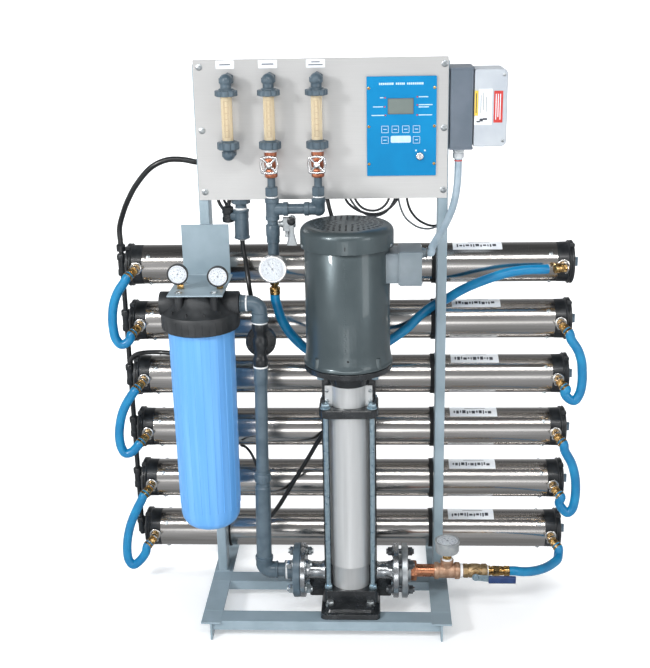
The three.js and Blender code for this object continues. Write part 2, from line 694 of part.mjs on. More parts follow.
add("permeate_manifold", "blackPlastic", permeateManifold());
const permeateStart = V(MANIFOLD_X, 0, 945 + GAP);
const permeateEnd = V(METER_X[0] - 21 - GAP, -104, 1200);
const permeateHose = along(permeateStart, V(0, 0, 1), PERMEATE_ROUTE, permeateEnd, V(-1, 0, 0), 7);
add("permeate_hose", "blackPlastic", permeateHose);
add("permeate_outlet", "greyPvc", permeateOutlet());
const sensorStart = V(OUTLET_TEE.x, OUTLET_TEE.y, OUTLET_TEE.bottom - GAP);
const sensorEnd = V(feedX(750), -190, 784 + GAP);
const sensorTube = along(sensorStart, V(0, 0, -1), SENSOR_ROUTE, sensorEnd, V(0, 0, 1), 6);
add("sensor_tube", "blackPlastic", sensorTube);
add("filter_bracket", "framePaint", filterBracket());
add("filter_head", "blackPlastic", filterHead());
add("filter_sump", "bluePlastic", filterSump());
add("filter_cartridge", "white", filterCartridge());
add("filter_gauge_left", "chrome", filterGauge(-338, 936));
add("filter_gauge_right", "chrome", filterGauge(-243, 930));
add("pump_base", "castIron", pumpBase());
add("pump_sleeve", "stainless", pumpSleeve());
add("motor_stool", "castIron", motorStool());
add("coupling_guard", "stainless", couplingGuard());
add("pump_rotor", "stainless", pumpRotor());
add("motor_body", "motorPaint", motorBody());
add("fan_cover", "motorPaint", fanCover());
add("inlet_elbow", "greyPvc", inletElbow());
add("inlet_valve", "blackPlastic", inletValve());
add("inlet_pipework", "greyPvc", inletPipework());
add("outlet_pipework", "brass", outletPipework());
add("outlet_valve_lever", "handleBlue", outletLever());
METER_X.forEach((x, i) => {
  add(`flowmeter_${i + 1}`, "amber", flowmeter(x, i === 0));
  add(`flowmeter_float_${i + 1}`, "stainless", flowmeterFloat(x));
});
METER_X.slice(1).forEach((x, i) => add(`valve_handwheel_${i + 1}`, "chrome", handwheel(x)));
add("panel_pipework", "greyPvc", panelPipework());
add("sample_valve_lever", "chrome", sampleLever());
add("controller", "blueFace", controller());
add("controller_key_switch", "chrome", keySwitch());
add("starter_box", "greyPlastic", starterBox());
add("starter_cover", "greyPlastic", starterCover());
const conduitStart = STARTER.gland.clone().setZ(1172 - GAP);
const conduitEnd = V(250 + GAP, PUMP.y, 974);
const conduit = along(conduitStart, V(0, 0, -1), CONDUIT_ROUTE, conduitEnd, V(1, 0, 0), 9);
add("motor_conduit", "greyPlastic", conduit);

unit.position.set(-ORIGIN.x, -ORIGIN.y, 0);
export default unit;
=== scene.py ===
"""Looks of a reverse osmosis unit: six membrane housings on a painted stand, with a vertical pump, a sediment
filter, an instrument panel, and the hoses and cables between them.

Sizes are millimetres, laid out like the part itself: X is zero on the stand's centre plane, Y is zero on the
housings' axes and Z is zero on the floor. piece() turns them into metres in the part's own frame.
"""
import json
import math

import bmesh
import bpy
import numpy as np
from mathutils import Matrix, Vector

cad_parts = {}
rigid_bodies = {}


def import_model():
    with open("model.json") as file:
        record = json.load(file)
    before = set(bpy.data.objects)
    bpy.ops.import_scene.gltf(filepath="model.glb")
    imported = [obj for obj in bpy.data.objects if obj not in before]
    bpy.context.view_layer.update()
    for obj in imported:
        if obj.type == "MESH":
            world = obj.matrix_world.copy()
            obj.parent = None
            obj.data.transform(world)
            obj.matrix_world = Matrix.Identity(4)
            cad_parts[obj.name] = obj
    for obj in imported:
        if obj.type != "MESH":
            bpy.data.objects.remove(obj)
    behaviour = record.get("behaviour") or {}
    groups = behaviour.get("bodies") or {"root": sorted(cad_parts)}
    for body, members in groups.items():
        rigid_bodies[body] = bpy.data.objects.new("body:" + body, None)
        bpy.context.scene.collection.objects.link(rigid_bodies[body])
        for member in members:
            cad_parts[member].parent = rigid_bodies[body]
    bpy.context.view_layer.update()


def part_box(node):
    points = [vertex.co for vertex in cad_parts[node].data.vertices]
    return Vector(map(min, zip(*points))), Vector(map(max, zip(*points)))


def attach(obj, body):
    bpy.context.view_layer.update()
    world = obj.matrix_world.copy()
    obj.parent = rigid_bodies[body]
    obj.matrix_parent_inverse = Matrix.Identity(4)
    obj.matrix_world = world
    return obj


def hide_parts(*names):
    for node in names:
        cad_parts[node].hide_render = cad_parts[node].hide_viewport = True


for left_over in list(bpy.data.objects):
    bpy.data.objects.remove(left_over)
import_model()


# Camera: a standing photographer a little to the right of the unit, with a short telephoto lens,
# looking down at it by about 18 degrees.
CAMERA_PLACE = Vector((0.0857, -2.7495, 1.6099))
CAMERA_PITCH = math.radians(17.976)
CAMERA_YAW = math.radians(2.883)
CAMERA_ROLL = math.radians(-1.117)
CAMERA_LENS = 60.27

ahead = Vector((-math.sin(CAMERA_YAW) * math.cos(CAMERA_PITCH),
                math.cos(CAMERA_YAW) * math.cos(CAMERA_PITCH), -math.sin(CAMERA_PITCH)))
level = Vector((math.cos(CAMERA_YAW), math.sin(CAMERA_YAW), 0))
above = level.cross(ahead)
camera_right = level * math.cos(CAMERA_ROLL) + above * math.sin(CAMERA_ROLL)
camera_up = above * math.cos(CAMERA_ROLL) - level * math.sin(CAMERA_ROLL)
camera = bpy.data.objects.new("camera", bpy.data.cameras.new("camera"))
camera.data.lens = CAMERA_LENS
camera.data.clip_end = 60
camera.matrix_world = Matrix.Translation(CAMERA_PLACE) @ Matrix(
    (camera_right, camera_up, -ahead)).transposed().to_4x4()
bpy.context.scene.collection.objects.link(camera)
bpy.context.scene.camera = camera


# Surfaces and finishes. A surface is an array of points and the faces over them; a finish is a material
# whose pattern is worked out from Object coordinates, which are metres in the part's frame.
def middle(node):
    """Middle of a CAD node's box, in millimetres."""
    low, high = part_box(node)
    return 500 * (np.array(low) + np.array(high))


LAYOUT_ZERO = np.array([middle("base_frame")[0], middle("housing_shell_1")[1], 0])


def grid(points, loop=False):
    """Faces over rings of points, an array (rings, points in a ring, 3). The last ring joins the first if
    loop is set; otherwise the end rings are closed with one face each."""
    rings, around = points.shape[:2]
    row = np.arange(rings if loop else rings - 1)[:, None]
    col = np.arange(around)[None, :]
    after, beside = (row + 1) % rings, (col + 1) % around
    quads = np.stack([row * around + col, row * around + beside,
                      after * around + beside, after * around + col], axis=-1)
    faces = quads.reshape(-1, 4).tolist()
    if not loop:
        faces += [list(range(around))[::-1], list(range((rings - 1) * around, rings * around))]
    return points.reshape(-1, 3), faces


def turned(a, b, profile, sides=48, loop=False, phase=0.0):
    """Surface of revolution about the line from a to b. Each profile pair is a radius and a distance from a:
    point = a + distance * axis + radius * (cos t * u + sin t * v)."""
    a, b = np.asarray(a, float), np.asarray(b, float)
    axis = (b - a) / np.linalg.norm(b - a)
    u = np.cross(axis, np.eye(3)[np.argmin(np.abs(axis))])
    u /= np.linalg.norm(u)
    t = phase + 2 * np.pi * np.arange(sides) / sides
    ring = np.cos(t)[:, None] * u + np.sin(t)[:, None] * np.cross(axis, u)
    radius, distance = np.array(profile, float).T
    return grid(a + distance[:, None, None] * axis + radius[:, None, None] * ring, loop)


def rod(a, b, radius, sides=32, end=None, phase=0.0):
    """Round bar from a to b; end is its radius at b where that differs."""
    length = np.linalg.norm(np.subtract(b, a))
    return turned(a, b, [(radius, 0), (radius if end is None else end, length)], sides, phase=phase)


def sleeve(a, b, outer, inner, sides=48):
    """Open pipe from a to b."""
    h = np.linalg.norm(np.subtract(b, a))
    return turned(a, b, [(outer, 0), (outer, h), (inner, h), (inner, 0)], sides, loop=True)


def block(x, y, z):
    """Rectangular block between three pairs of limits."""
    (x0, x1), (y0, y1), (z0, z1) = x, y, z
    ring = np.array([(x0, y0), (x1, y0), (x1, y1), (x0, y1)], float)
    levels = [np.column_stack([ring, np.full(4, h)]) for h in (z0, z1)]
    return grid(np.array(levels))


def bar(outline, along, start, stop):
    """Straight bar of one outline. The outline's two numbers are the coordinates left when along is taken
    out, in the order Y Z, Z X or X Y, so that it always runs anticlockwise seen from the bar's far end."""
    order = {"x": (1, 2, 0), "y": (2, 0, 1), "z": (0, 1, 2)}[along]
    flat = np.array(outline, float)
    points = np.empty((2, len(flat), 3))
    points[:, :, order[0]] = flat[:, 0]
    points[:, :, order[1]] = flat[:, 1]
    points[0, :, order[2]] = start
    points[1, :, order[2]] = stop
    return grid(points)


def rounded(cx, cy, half_x, half_y, radius, steps=6):
    """Anticlockwise rectangle with round corners, as outline points."""
    t = np.radians(np.linspace(0, 90, steps))
    corners = [(1, 1, 0), (-1, 1, 90), (-1, -1, 180), (1, -1, 270)]
    return [(cx + sx * (half_x - radius) + radius * math.cos(a + math.radians(turn)),
             cy + sy * (half_y - radius) + radius * math.sin(a + math.radians(turn)))
            for sx, sy, turn in corners for a in t]


def smooth(points, per_span=8):
    """Centripetal Catmull-Rom curve: between two points it is a cubic whose end slopes come from their
    neighbours, weighted by the square roots of the distances."""
    p = np.array(points, float)
    p = np.concatenate([[2 * p[0] - p[1]], p, [2 * p[-1] - p[-2]]])
    knot = np.sqrt(np.linalg.norm(np.diff(p, axis=0), axis=1))[:, None]
    rise = np.diff(p, axis=0) / knot
    wide = (p[2:] - p[:-2]) / (knot[:-1] + knot[1:])
    slope = rise[:-1] - wide + rise[1:]
    p1, p2 = p[1:-2], p[2:-1]
    m1, m2 = slope[:-1] * knot[1:-1], slope[1:] * knot[1:-1]
    f = np.linspace(0, 1, per_span, endpoint=False)[None, :, None]
    p1, p2, m1, m2 = (q[:, None, :] for q in (p1, p2, m1, m2))
    curve = p1 + m1 * f + (3 * (p2 - p1) - 2 * m1 - m2) * f ** 2 + (2 * (p1 - p2) + m1 + m2) * f ** 3
    return np.concatenate([curve.reshape(-1, 3), p[-2:-1]])


def swept(path, radius, sides=20):
    """Round tube along a path. Each ring lies square to the path; its first point is turned towards the
    direction that the path uses least."""
    path = np.asarray(path, float)
    way = np.gradient(path, axis=0)
    way /= np.linalg.norm(way, axis=1)[:, None]
    side = np.cross(way, np.linalg.svd(way)[2][2])
    side /= np.linalg.norm(side, axis=1)[:, None]
    up = np.cross(way, side)
    t = 2 * np.pi * np.arange(sides) / sides
    ring = np.cos(t)[None, :, None] * side[:, None] + np.sin(t)[None, :, None] * up[:, None]
    radius = np.broadcast_to(radius, len(path))[:, None, None]
    return grid(path[:, None] + radius * ring)


def piece(name, body, finish, shapes, bevel=0.8, stands_for=()):
    """Joins shapes into one mesh in metres, eases its edges, and lets it ride on a CAD body."""
    points, faces = [], []
    count = 0
    for shape_points, shape_faces in shapes:
        points.append(shape_points)
        faces += [[index + count for index in face] for face in shape_faces]
        count += len(shape_points)
    mesh = bpy.data.meshes.new(name)
    mesh.from_pydata(((np.concatenate(points) + LAYOUT_ZERO) / 1000).tolist(), [], faces)
    form = bmesh.new()
    form.from_mesh(mesh)
    bmesh.ops.recalc_face_normals(form, faces=form.faces)
    form.to_mesh(mesh)
    form.free()
    mesh.shade_smooth()
    mesh.set_sharp_from_angle(angle=math.radians(38))
    made = bpy.data.objects.new(name, mesh)
    bpy.context.scene.collection.objects.link(made)
    made.data.materials.append(finish)
    if bevel:
        ease = made.modifiers.new("eased edges", "BEVEL")
        ease.width = bevel / 1000
        ease.segments = 2
        ease.limit_method = "ANGLE"
        ease.angle_limit = math.radians(38)
        ease.harden_normals = True
    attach(made, body)
    if stands_for:
        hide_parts(*stands_for)
    return made


class Socket:
    """One output of a shader node. Arithmetic on it adds Math nodes."""

    def __init__(self, finish, link):
        self.finish, self.link = finish, link

    def math(self, operation, *others):
        return self.finish.node("ShaderNodeMath", {"operation": operation},
                                dict(enumerate((self, *others))))

    def __add__(self, other): return self.math("ADD", other)
    def __radd__(self, other): return self.math("ADD", other)
    def __mul__(self, other): return self.math("MULTIPLY", other)
    def __rmul__(self, other): return self.math("MULTIPLY", other)
    def __sub__(self, other): return self.math("SUBTRACT", other)
    def __rsub__(self, other): return (self * -1) + other


class Finish:
    """A new material with one Principled shader."""

    def __init__(self, name, **surface):
        self.material = bpy.data.materials.new(name)
        self.material.use_nodes = True
        self.tree = self.material.node_tree
        self.shader = self.tree.nodes["Principled BSDF"]
        self.place = self.node("ShaderNodeTexCoord", output="Object")
        for socket, value in surface.items():
            self.set(socket.replace("_", " "), value)

    def node(self, kind, settings=None, inputs=None, output=0):
        """Adds a node: its settings first, then the values or links of its sockets."""
        made = self.tree.nodes.new(kind)
        for key, value in (settings or {}).items():
            setattr(made, key, value)
        for key, value in (inputs or {}).items():
            if isinstance(value, Socket):
                self.tree.links.new(value.link, made.inputs[key])
            else:
                made.inputs[key].default_value = value
        return Socket(self, made.outputs[output])

    def set(self, socket, value):
        """A value or a link on the shader's own socket."""
        if isinstance(value, Socket):
            self.tree.links.new(value.link, self.shader.inputs[socket])
        else:
            self.shader.inputs[socket].default_value = (*value, 1) if isinstance(value, tuple) else value

    def stretched(self, scale):
        return self.node("ShaderNodeMapping", {}, {"Vector": self.place, "Scale": scale})

    def noise(self, scale, detail=3.0, stretch=(1, 1, 1)):
        """Soft random values from 0 to 1, about 0.5; scale is in cells per metre."""
        return self.node("ShaderNodeTexNoise", {}, {"Vector": self.stretched(stretch), "Scale": scale,
                                                    "Detail": detail})

    def mix(self, factor, a, b):
        """Colour between a and b."""
        first, second = (c if isinstance(c, Socket) else (*c, 1) for c in (a, b))
        colours = {0: factor, 6: first, 7: second}
        return self.node("ShaderNodeMix", {"data_type": "RGBA"}, colours, output=2)

    def steps(self, value, low, high):
        """0 below low, 1 above high, smooth between them."""
        return self.node("ShaderNodeMapRange", {"interpolation_type": "SMOOTHSTEP"},
                         {0: value, 1: low, 2: high})

    def bump(self, height, distance):
        """Raises the surface by height times distance, in millimetres."""
        self.set("Normal", self.node("ShaderNodeBump", {}, {"Height": height, "Distance": distance / 1000}))


def mottled(name, colour, other, roughness, grain=60.0, stretch=(1, 1, 1), relief=0.05, fine=900.0,
            **surface):
    """A finish whose colour drifts between two values, its roughness with it, over a fine relief."""
    made = Finish(name, **surface)
    drift = made.steps(made.noise(grain, 4.0, stretch), 0.35, 0.68)
    made.set("Base Color", made.mix(drift, colour, other))
    made.set("Roughness", roughness * 0.85 + drift * (roughness * 0.3))
    made.bump(made.noise(fine, 2.0, stretch), relief)
    return made.material


# Blue pressure hoses: reinforced rubber hose, 24 mm outside, pushed on brass hose tails. Each runs from one
# fitting to another, in the unbraced loop that its own stiffness gives it.
HOSE_RADIUS = 12.0
HOUSING_LEFT = -516.0
HOUSING_LENGTH = 1148.0
HOUSINGS = 6
PORT_INSET, PORT_Z, PORT_Y = 30.0, 4.0, -78.0
PUMP_X, PUMP_Y, PUMP_PORT_Z = 61.5, -240.0, 130.0
METER_Y = -165.0
METER_X = (-219.0, -119.5, -7.5)
HOUSING_Z = [middle(f"housing_shell_{k + 1}")[2] for k in range(HOUSINGS)]

hose_blue = mottled("hose_blue", (0.001, 0.165, 0.37), (0.003, 0.225, 0.45), 0.4, grain=25, relief=0.12,
                    fine=420.0, Coat_Weight=0.15)


def cap_port(housing, side):
    """Where the brass hose tail starts on a cap, where it ends, and its direction."""
    x = HOUSING_LEFT + PORT_INSET if side < 0 else HOUSING_LEFT + HOUSING_LENGTH - PORT_INSET
    start = np.array([x, PORT_Y, HOUSING_Z[housing] + PORT_Z])
    bent = np.array([-45.0, -12, 0]) if (housing, side) == (0, 1) else np.array([side * 9.0, -12, -8])
    return start, start + bent, bent / np.linalg.norm(bent)


def route(start, start_way, way, end, end_way, radius):
    """Path that leaves both of its ends straight for one radius."""
    start, end = np.asarray(start, float), np.asarray(end, float)
    return smooth([start, start + radius * np.asarray(start_way), *way,
                   end + radius * np.asarray(end_way), end])


def lay_cord(name, finish, path, radius, body="unit", stands_for=()):
    """Round cord along a path."""
    made = piece(f"laid_{name}", body, finish, [swept(path, radius, 24)], 0, stands_for)
    2 * radius / 1000
    return made


LOOPS = {
    "hose_left_1_2": (0, 1, -1, [
        (-509, -100, 868), (-525, -101, 846), (-538, -101, 817), (-545, -101, 783), (-546, -101, 748),
        (-541, -101, 718), (-529, -101, 703), (-514, -100, 707), (-503, -98, 720)]),
    "hose_left_3_4": (2, 3, -1, [
        (-509, -100, 566), (-524, -101, 544), (-539, -101, 514), (-549, -101, 478), (-553, -101, 445),
        (-550, -101, 415), (-540, -101, 397), (-524, -101, 400), (-508, -99, 415)]),
    "hose_left_5_6": (4, 5, -1, [
        (-506, -100, 260), (-524, -101, 226), (-542, -101, 184), (-553, -101, 141), (-557, -101, 105),
        (-554, -101, 76), (-543, -101, 62), (-526, -101, 73), (-507, -99, 98)]),
    "hose_right_2_3": (1, 2, 1, [
        (622, -100, 712), (639, -101, 686), (650, -101, 657), (654, -101, 626), (655, -101, 594),
        (650, -101, 564), (638, -101, 546), (623, -100, 552), (613, -98, 567)]),
    "hose_right_4_5": (3, 4, 1, [
        (620, -100, 407), (639, -101, 371), (650, -101, 334), (654, -101, 297), (653, -101, 263),
        (647, -101, 236), (636, -101, 226), (622, -100, 237), (613, -98, 254)]),
}
FEED_WAY = [(617, -104, 104), (613, -118, 97), (596, -142, 96), (566, -180, 103), (531, -212, 113),
            (500, -233, 124)]
RETURN_WAY = [
    (-116, -165, 826), (-107, -160, 790), (-88, -150, 750), (-62, -136, 714), (-32, -118, 684),
    (10, -101, 662), (61, -92, 656), (113, -88, 674), (166, -82, 706), (208, -74, 735), (242, -62, 765),
    (275, -50, 788), (310, -50, 806), (342, -62, 830), (377, -77, 852), (420, -88, 872), (464, -93, 887),
    (510, -93, 893)]
OUTLET_END = (470.3, PUMP_Y, PUMP_PORT_Z)
COLUMN_FOOT = (METER_X[1], METER_Y, 853.7)

for hose_name, (upper, lower, side, way) in LOOPS.items():
    _, start, start_way = cap_port(upper, side)
    _, end, end_way = cap_port(lower, side)
    lay_cord(hose_name, hose_blue, route(start, start_way, way, end, end_way, HOSE_RADIUS),
             HOSE_RADIUS, stands_for=[hose_name])
_, start, start_way = cap_port(HOUSINGS - 1, 1)
lay_cord("hose_pump_outlet", hose_blue,
         route(start, start_way, FEED_WAY, OUTLET_END, (1, 0, 0), HOSE_RADIUS), HOSE_RADIUS,
         stands_for=["hose_pump_outlet"])
_, end, end_way = cap_port(0, 1)
lay_cord("hose_concentrate", hose_blue,
         route(COLUMN_FOOT, (0, 0, -1), RETURN_WAY, end, end_way, HOSE_RADIUS), HOSE_RADIUS,
         stands_for=["hose_concentrate"])


# Black tubes, grey conduit and cables. The permeate tube and the pilot tubes are polyethylene; the motor's
# conduit is grey liquid-tight hose; the cables under the panel go to the switches and the motor.
MANIFOLD_X = -534.0
INLET_TOP_X, INLET_FOOT_X, INLET_Y, FILTER_PORT_Z = -151.0, -164.0, -240.0, 853.0

tube_black = mottled("tube_black", (0.008, 0.009, 0.010), (0.016, 0.017, 0.018), 0.34, grain=30, relief=0.04,
                     Coat_Weight=0.2)
conduit_grey = mottled("conduit_grey", (0.30, 0.39, 0.46), (0.36, 0.45, 0.52), 0.42, grain=40, relief=0.06)
cable_black = mottled("cable_black", (0.012, 0.013, 0.015), (0.024, 0.026, 0.028), 0.5, grain=80, relief=0.05)
cable_grey = mottled("cable_grey", (0.09, 0.10, 0.11), (0.13, 0.14, 0.15), 0.5, grain=80, relief=0.05)


def inlet_x(z):
    """X of the inlet pipe, which leans a little, at height z."""
    return INLET_TOP_X + (INLET_FOOT_X - INLET_TOP_X) * (FILTER_PORT_Z - z) / (FILTER_PORT_Z - PUMP_PORT_Z)


PERMEATE_WAY = [
    (-534, 0, 985), (-520, -10, 1026), (-500, -24, 1066), (-474, -36, 1106), (-430, -48, 1152),
    (-389, -50, 1170), (-350, -48, 1170), (-316, -45, 1163), (-290, -46, 1163), (-268, -60, 1175),
    (-254, -88, 1194)]
lay_cord("permeate_hose", tube_black,
         route((MANIFOLD_X, 0, 945.3), (0, 0, 1), PERMEATE_WAY, (METER_X[0] - 21.3, -104, 1200), (-1, 0, 0),
               7),
         7, stands_for=["permeate_hose"])
SENSOR_WAY = [(-203, -92, 955), (-198, -94, 920), (-193, -102, 885), (-188, -118, 855), (-178, -150, 828),
              (-166, -180, 806)]
lay_cord("sensor_tube", tube_black,
         route((-204, -92, 977.7), (0, 0, -1), SENSOR_WAY, (inlet_x(750), -190, 784.3), (0, 0, 1), 6),
         6, stands_for=["sensor_tube"])
CONDUIT_WAY = [(330, -91, 1150), (329, -96, 1123), (325, -106, 1090), (316, -124, 1058), (303, -146, 1033),
               (288, -172, 1012), (273, -203, 996), (262, -228, 983)]
lay_cord("motor_conduit", conduit_grey,
         route((330, -91, 1171.7), (0, 0, -1), CONDUIT_WAY, (250.3, PUMP_Y, 974), (1, 0, 0), 9),
         9, stands_for=["motor_conduit"])

THIN_CORDS = {
    "pilot_tube_3": (tube_black, 6, [
        (-531, 0, 600), (-529, -6, 625), (-514, -24, 646), (-494, -40, 658), (-463, -56, 666),
        (-430, -66, 669), (-390, -70, 666), (-350, -74, 660), (-318, -90, 655)]),
    "drain_tube": (tube_black, 6, [
        (60, -176, 570), (46, -150, 545), (24, -112, 500), (4, -84, 465), (-19, -72, 432),
        (-52, -70, 374), (-84, -70, 320), (-116, -70, 264), (-136, -69, 230), (-158, -64, 198),
        (-180, -54, 176)]),
    "side_tube": (cable_black, 3.5, [
        (-236, -50, 398), (-222, -66, 400), (-208, -82, 392), (-197, -96, 378), (-189, -108, 362),
        (-181, -130, 346), (-174, -160, 336), (-168, -200, 330)]),
    "cable_a1": (cable_black, 3.2, [
        (52, -96, 1092), (58, -98, 1072), (71, -100, 1058), (89, -101, 1047), (103, -101, 1042),
        (122, -101, 1039), (140, -101, 1041), (156, -100, 1048), (170, -99, 1059), (182, -97, 1075),
        (188, -95, 1092)]),
    "cable_a2": (cable_grey, 2.6, [
        (60, -88, 1092), (70, -90, 1070), (84, -92, 1052), (100, -93, 1040), (118, -94, 1033),
        (138, -94, 1034), (155, -93, 1043), (166, -92, 1056), (176, -90, 1074), (182, -88, 1092)]),
    "cable_a3": (cable_black, 3.0, [
        (74, -108, 1092), (84, -109, 1070), (98, -110, 1056), (116, -111, 1050), (134, -110, 1051),
        (150, -108, 1060), (160, -106, 1074), (166, -104, 1092)]),
    "cable_b": (cable_grey, 2.4, [
        (184, -99, 1092), (186, -98, 1072), (193, -94, 1046), (203, -92, 1027), (216, -90, 1014),
        (232, -86, 1003), (248, -80, 997), (264, -73, 995), (280, -68, 999), (296, -64, 1010)]),
    "cable_c": (cable_black, 3.0, [
        (204, -99, 1092), (207, -98, 1070), (213, -94, 1050), (222, -88, 1034), (234, -82, 1020),
        (248, -76, 1010), (262, -70, 1003), (278, -62, 1000), (294, -56, 1004)]),
    "cable_d": (cable_black, 5.0, [
        (8, -98, 1092), (11, -100, 1078), (14, -103, 1062), (19, -109, 1044), (25, -117, 1020),
        (30, -122, 990), (33, -124, 950), (34, -124, 905)]),
    "switch_cable_1": (cable_black, 4.0, [
        (-262, -94, 1092), (-260, -94, 1078), (-256, -93, 1066), (-250, -92, 1056), (-244, -92, 1046)]),
    "switch_cable_2": (cable_black, 3.2, [
        (-250, -84, 1092), (-248, -84, 1078), (-243, -84, 1066), (-238, -86, 1054), (-236, -90, 1046)]),
}
for cord_name, (finish, radius, points) in THIN_CORDS.items():
    lay_cord(cord_name, finish, smooth(points), radius)


# Studio: a white paper sweep that runs up behind the unit, a hard-edged key lamp from the left, a wide strip
# overhead in front, a soft fill from the right, a low reflector and a low front light, and a room that is
# dark above and grey below.
# The paper and its wash are kept out of reflections, as black cards round the camera would.
SWEEP_RISE, SWEEP_BACK, SWEEP_FRONT, SWEEP_HALF = 1.6, 3.6, -6.5, 9.0

rise = np.radians(np.linspace(0, 90, 13))
sweep_line = [(SWEEP_FRONT, 0), *zip(SWEEP_BACK + SWEEP_RISE * np.sin(rise),
                                     SWEEP_RISE * (1 - np.cos(rise))), (SWEEP_BACK + SWEEP_RISE, 5)]
sweep_points = [(x, y, z) for x in (-SWEEP_HALF, SWEEP_HALF) for y, z in sweep_line]
across = len(sweep_line)
sweep_mesh = bpy.data.meshes.new("paper_sweep")
sweep_mesh.from_pydata(sweep_points, [], [(k, across + k, across + k + 1, k + 1) for k in range(across - 1)])
sweep_mesh.shade_smooth()
paper = bpy.data.objects.new("paper_sweep", sweep_mesh)
bpy.context.scene.collection.objects.link(paper)
paper_white = Finish("paper_white", Base_Color=(0.86, 0.87, 0.88), Roughness=0.9, Emission_Color=(1, 1, 1),
                     Emission_Strength=0.30)
paper_white.bump(paper_white.noise(40), 0.05)
sweep_mesh.materials.append(paper_white.material)
paper.visible_glossy = False


def lamp(name, place, aim, wide, high, power, colour=(1, 1, 1), mirrored=True):
    """Rectangular soft box at place, facing aim. The camera never sees it; mirrored says if metal does."""
    data = bpy.data.lights.new(name, "AREA")
    data.shape, data.size, data.size_y, data.energy, data.color = "RECTANGLE", wide, high, power, colour
    made = bpy.data.objects.new(name, data)
    made.location = place
    made.rotation_euler = (Vector(aim) - Vector(place)).to_track_quat("-Z", "Y").to_euler()
    made.visible_camera = False
    made.visible_glossy = mirrored
    bpy.context.scene.collection.objects.link(made)


lamp("key", (-2.3, -2.6, 2.25), (0, 0, 0.95), 0.55, 0.55, 76)
lamp("strip", (0.2, -3.1, 3.7), (0, 0, 0.5), 4.2, 0.55, 82)
lamp("fill", (2.9, -2.6, 1.5), (0, 0, 0.8), 1.2, 1.6, 24)
lamp("front", (-0.15, -3.3, 0.2), (0, 0, 0.8), 0.8, 0.7, 5)
lamp("reflector", (0.0, -2.7, 0.42), (0, 0, 1.1), 2.2, 0.5, 3.2)
lamp("paper_wash", (0, 2.6, 4.4), (0, 3.2, 0), 7.0, 2.0, 250, mirrored=False)
room = bpy.data.worlds.new("room")
room.use_nodes = True
bpy.context.scene.world = room
room_nodes, room_links = room.node_tree.nodes, room.node_tree.links
direction = room_nodes.new("ShaderNodeTexCoord")
height = room_nodes.new("ShaderNodeSeparateXYZ")
spread = room_nodes.new("ShaderNodeMapRange")
tone = room_nodes.new("ShaderNodeValToRGB")
spread.inputs["From Min"].default_value = -1
ROOM_TONES = ((0.0, 0.26), (0.25, 0.40), (0.45, 0.62), (0.56, 0.46), (0.72, 0.24), (0.86, 0.11), (1.0, 0.08))
while len(tone.color_ramp.elements) < len(ROOM_TONES):
    tone.color_ramp.elements.new(0.5)
for stop, (place, grey) in zip(tone.color_ramp.elements, ROOM_TONES):
    stop.position, stop.color = place, (grey, grey * 1.02, grey * 1.05, 1)
room_links.new(direction.outputs["Generated"], height.inputs[0])
room_links.new(height.outputs["Z"], spread.inputs["Value"])
room_links.new(spread.outputs[0], tone.inputs[0])
room_links.new(tone.outputs[0], room_nodes["Background"].inputs["Color"])
bpy.context.scene.view_settings.view_transform = "Standard"


# Stand: two welded tee-section runners, and cross rails of angle with a turned-down lip, in pale blue-grey
# enamel. The welds along the corners are low ripples of the same paint.
STAND_HALF, STAND_FRONT, STAND_REAR, STAND_TOP, STAND_STEEL = 316.0, -368.0, 242.0, 51.0, 5.0
FLANGE_WIDE, RAIL_LIP = 50.0, 26.0
RAIL_FRONTS = (-360.0, -165.0)

frame_paint = mottled("frame_paint", (0.255, 0.335, 0.385), (0.30, 0.385, 0.44), 0.42, grain=14, relief=0.10,
                      fine=300.0, Coat_Weight=0.1)

leg_x = STAND_HALF - FLANGE_WIDE / 2
under = STAND_TOP - STAND_STEEL
stand = []
for side in (-1, 1):
    low, high = sorted((side * (STAND_HALF - FLANGE_WIDE), side * STAND_HALF))
    mid = side * leg_x
    tee = [(low, under), (mid - 2.5, under), (mid - 2.5, 0), (mid + 2.5, 0), (mid + 2.5, under),
           (high, under), (high, STAND_TOP), (low, STAND_TOP)]
    stand.append(bar([(z, x) for x, z in tee[::-1]], "y", STAND_FRONT, STAND_REAR))
for front in (*RAIL_FRONTS, STAND_REAR - FLANGE_WIDE):
    lip = front if front < 0 else STAND_REAR - STAND_STEEL
    back_lip = lip + STAND_STEEL
    top = STAND_TOP - 0.4
    stand.append(block((-STAND_HALF + 2, STAND_HALF - 2), (front, front + FLANGE_WIDE), (under + 0.4, top)))
    stand.append(block((-leg_x, leg_x), (lip + 0.2, back_lip - 0.2), (STAND_TOP - RAIL_LIP, under + 1)))
for side in (-1, 1):
    for y in (RAIL_FRONTS[0] + FLANGE_WIDE, RAIL_FRONTS[1], RAIL_FRONTS[1] + FLANGE_WIDE,
              STAND_REAR - FLANGE_WIDE):
        run = np.linspace(0, 1, 40)
        bead = np.column_stack([side * (STAND_HALF - FLANGE_WIDE + 2 + 46 * run), np.full(40, y),
                                np.full(40, STAND_TOP - 1.2)])
        stand.append(swept(bead, 2.0 + 0.35 * np.sin(run * 75), 10))
piece("stand", "unit", frame_paint, stand, 1.0, ["base_frame"])


# Uprights: 50 by 25 mm tube, with a cushioned clamp round each housing. A clamp is a painted strap over a
# black rubber strip, and a bolt pulls its ears together behind.
UPRIGHT_OUTER, UPRIGHT_WIDE, UPRIGHT_FRONT, UPRIGHT_DEEP, UPRIGHT_TOP = 305.0, 25.0, -115.0, 50.0, 1405.0
HOUSING_RADIUS = 50.8

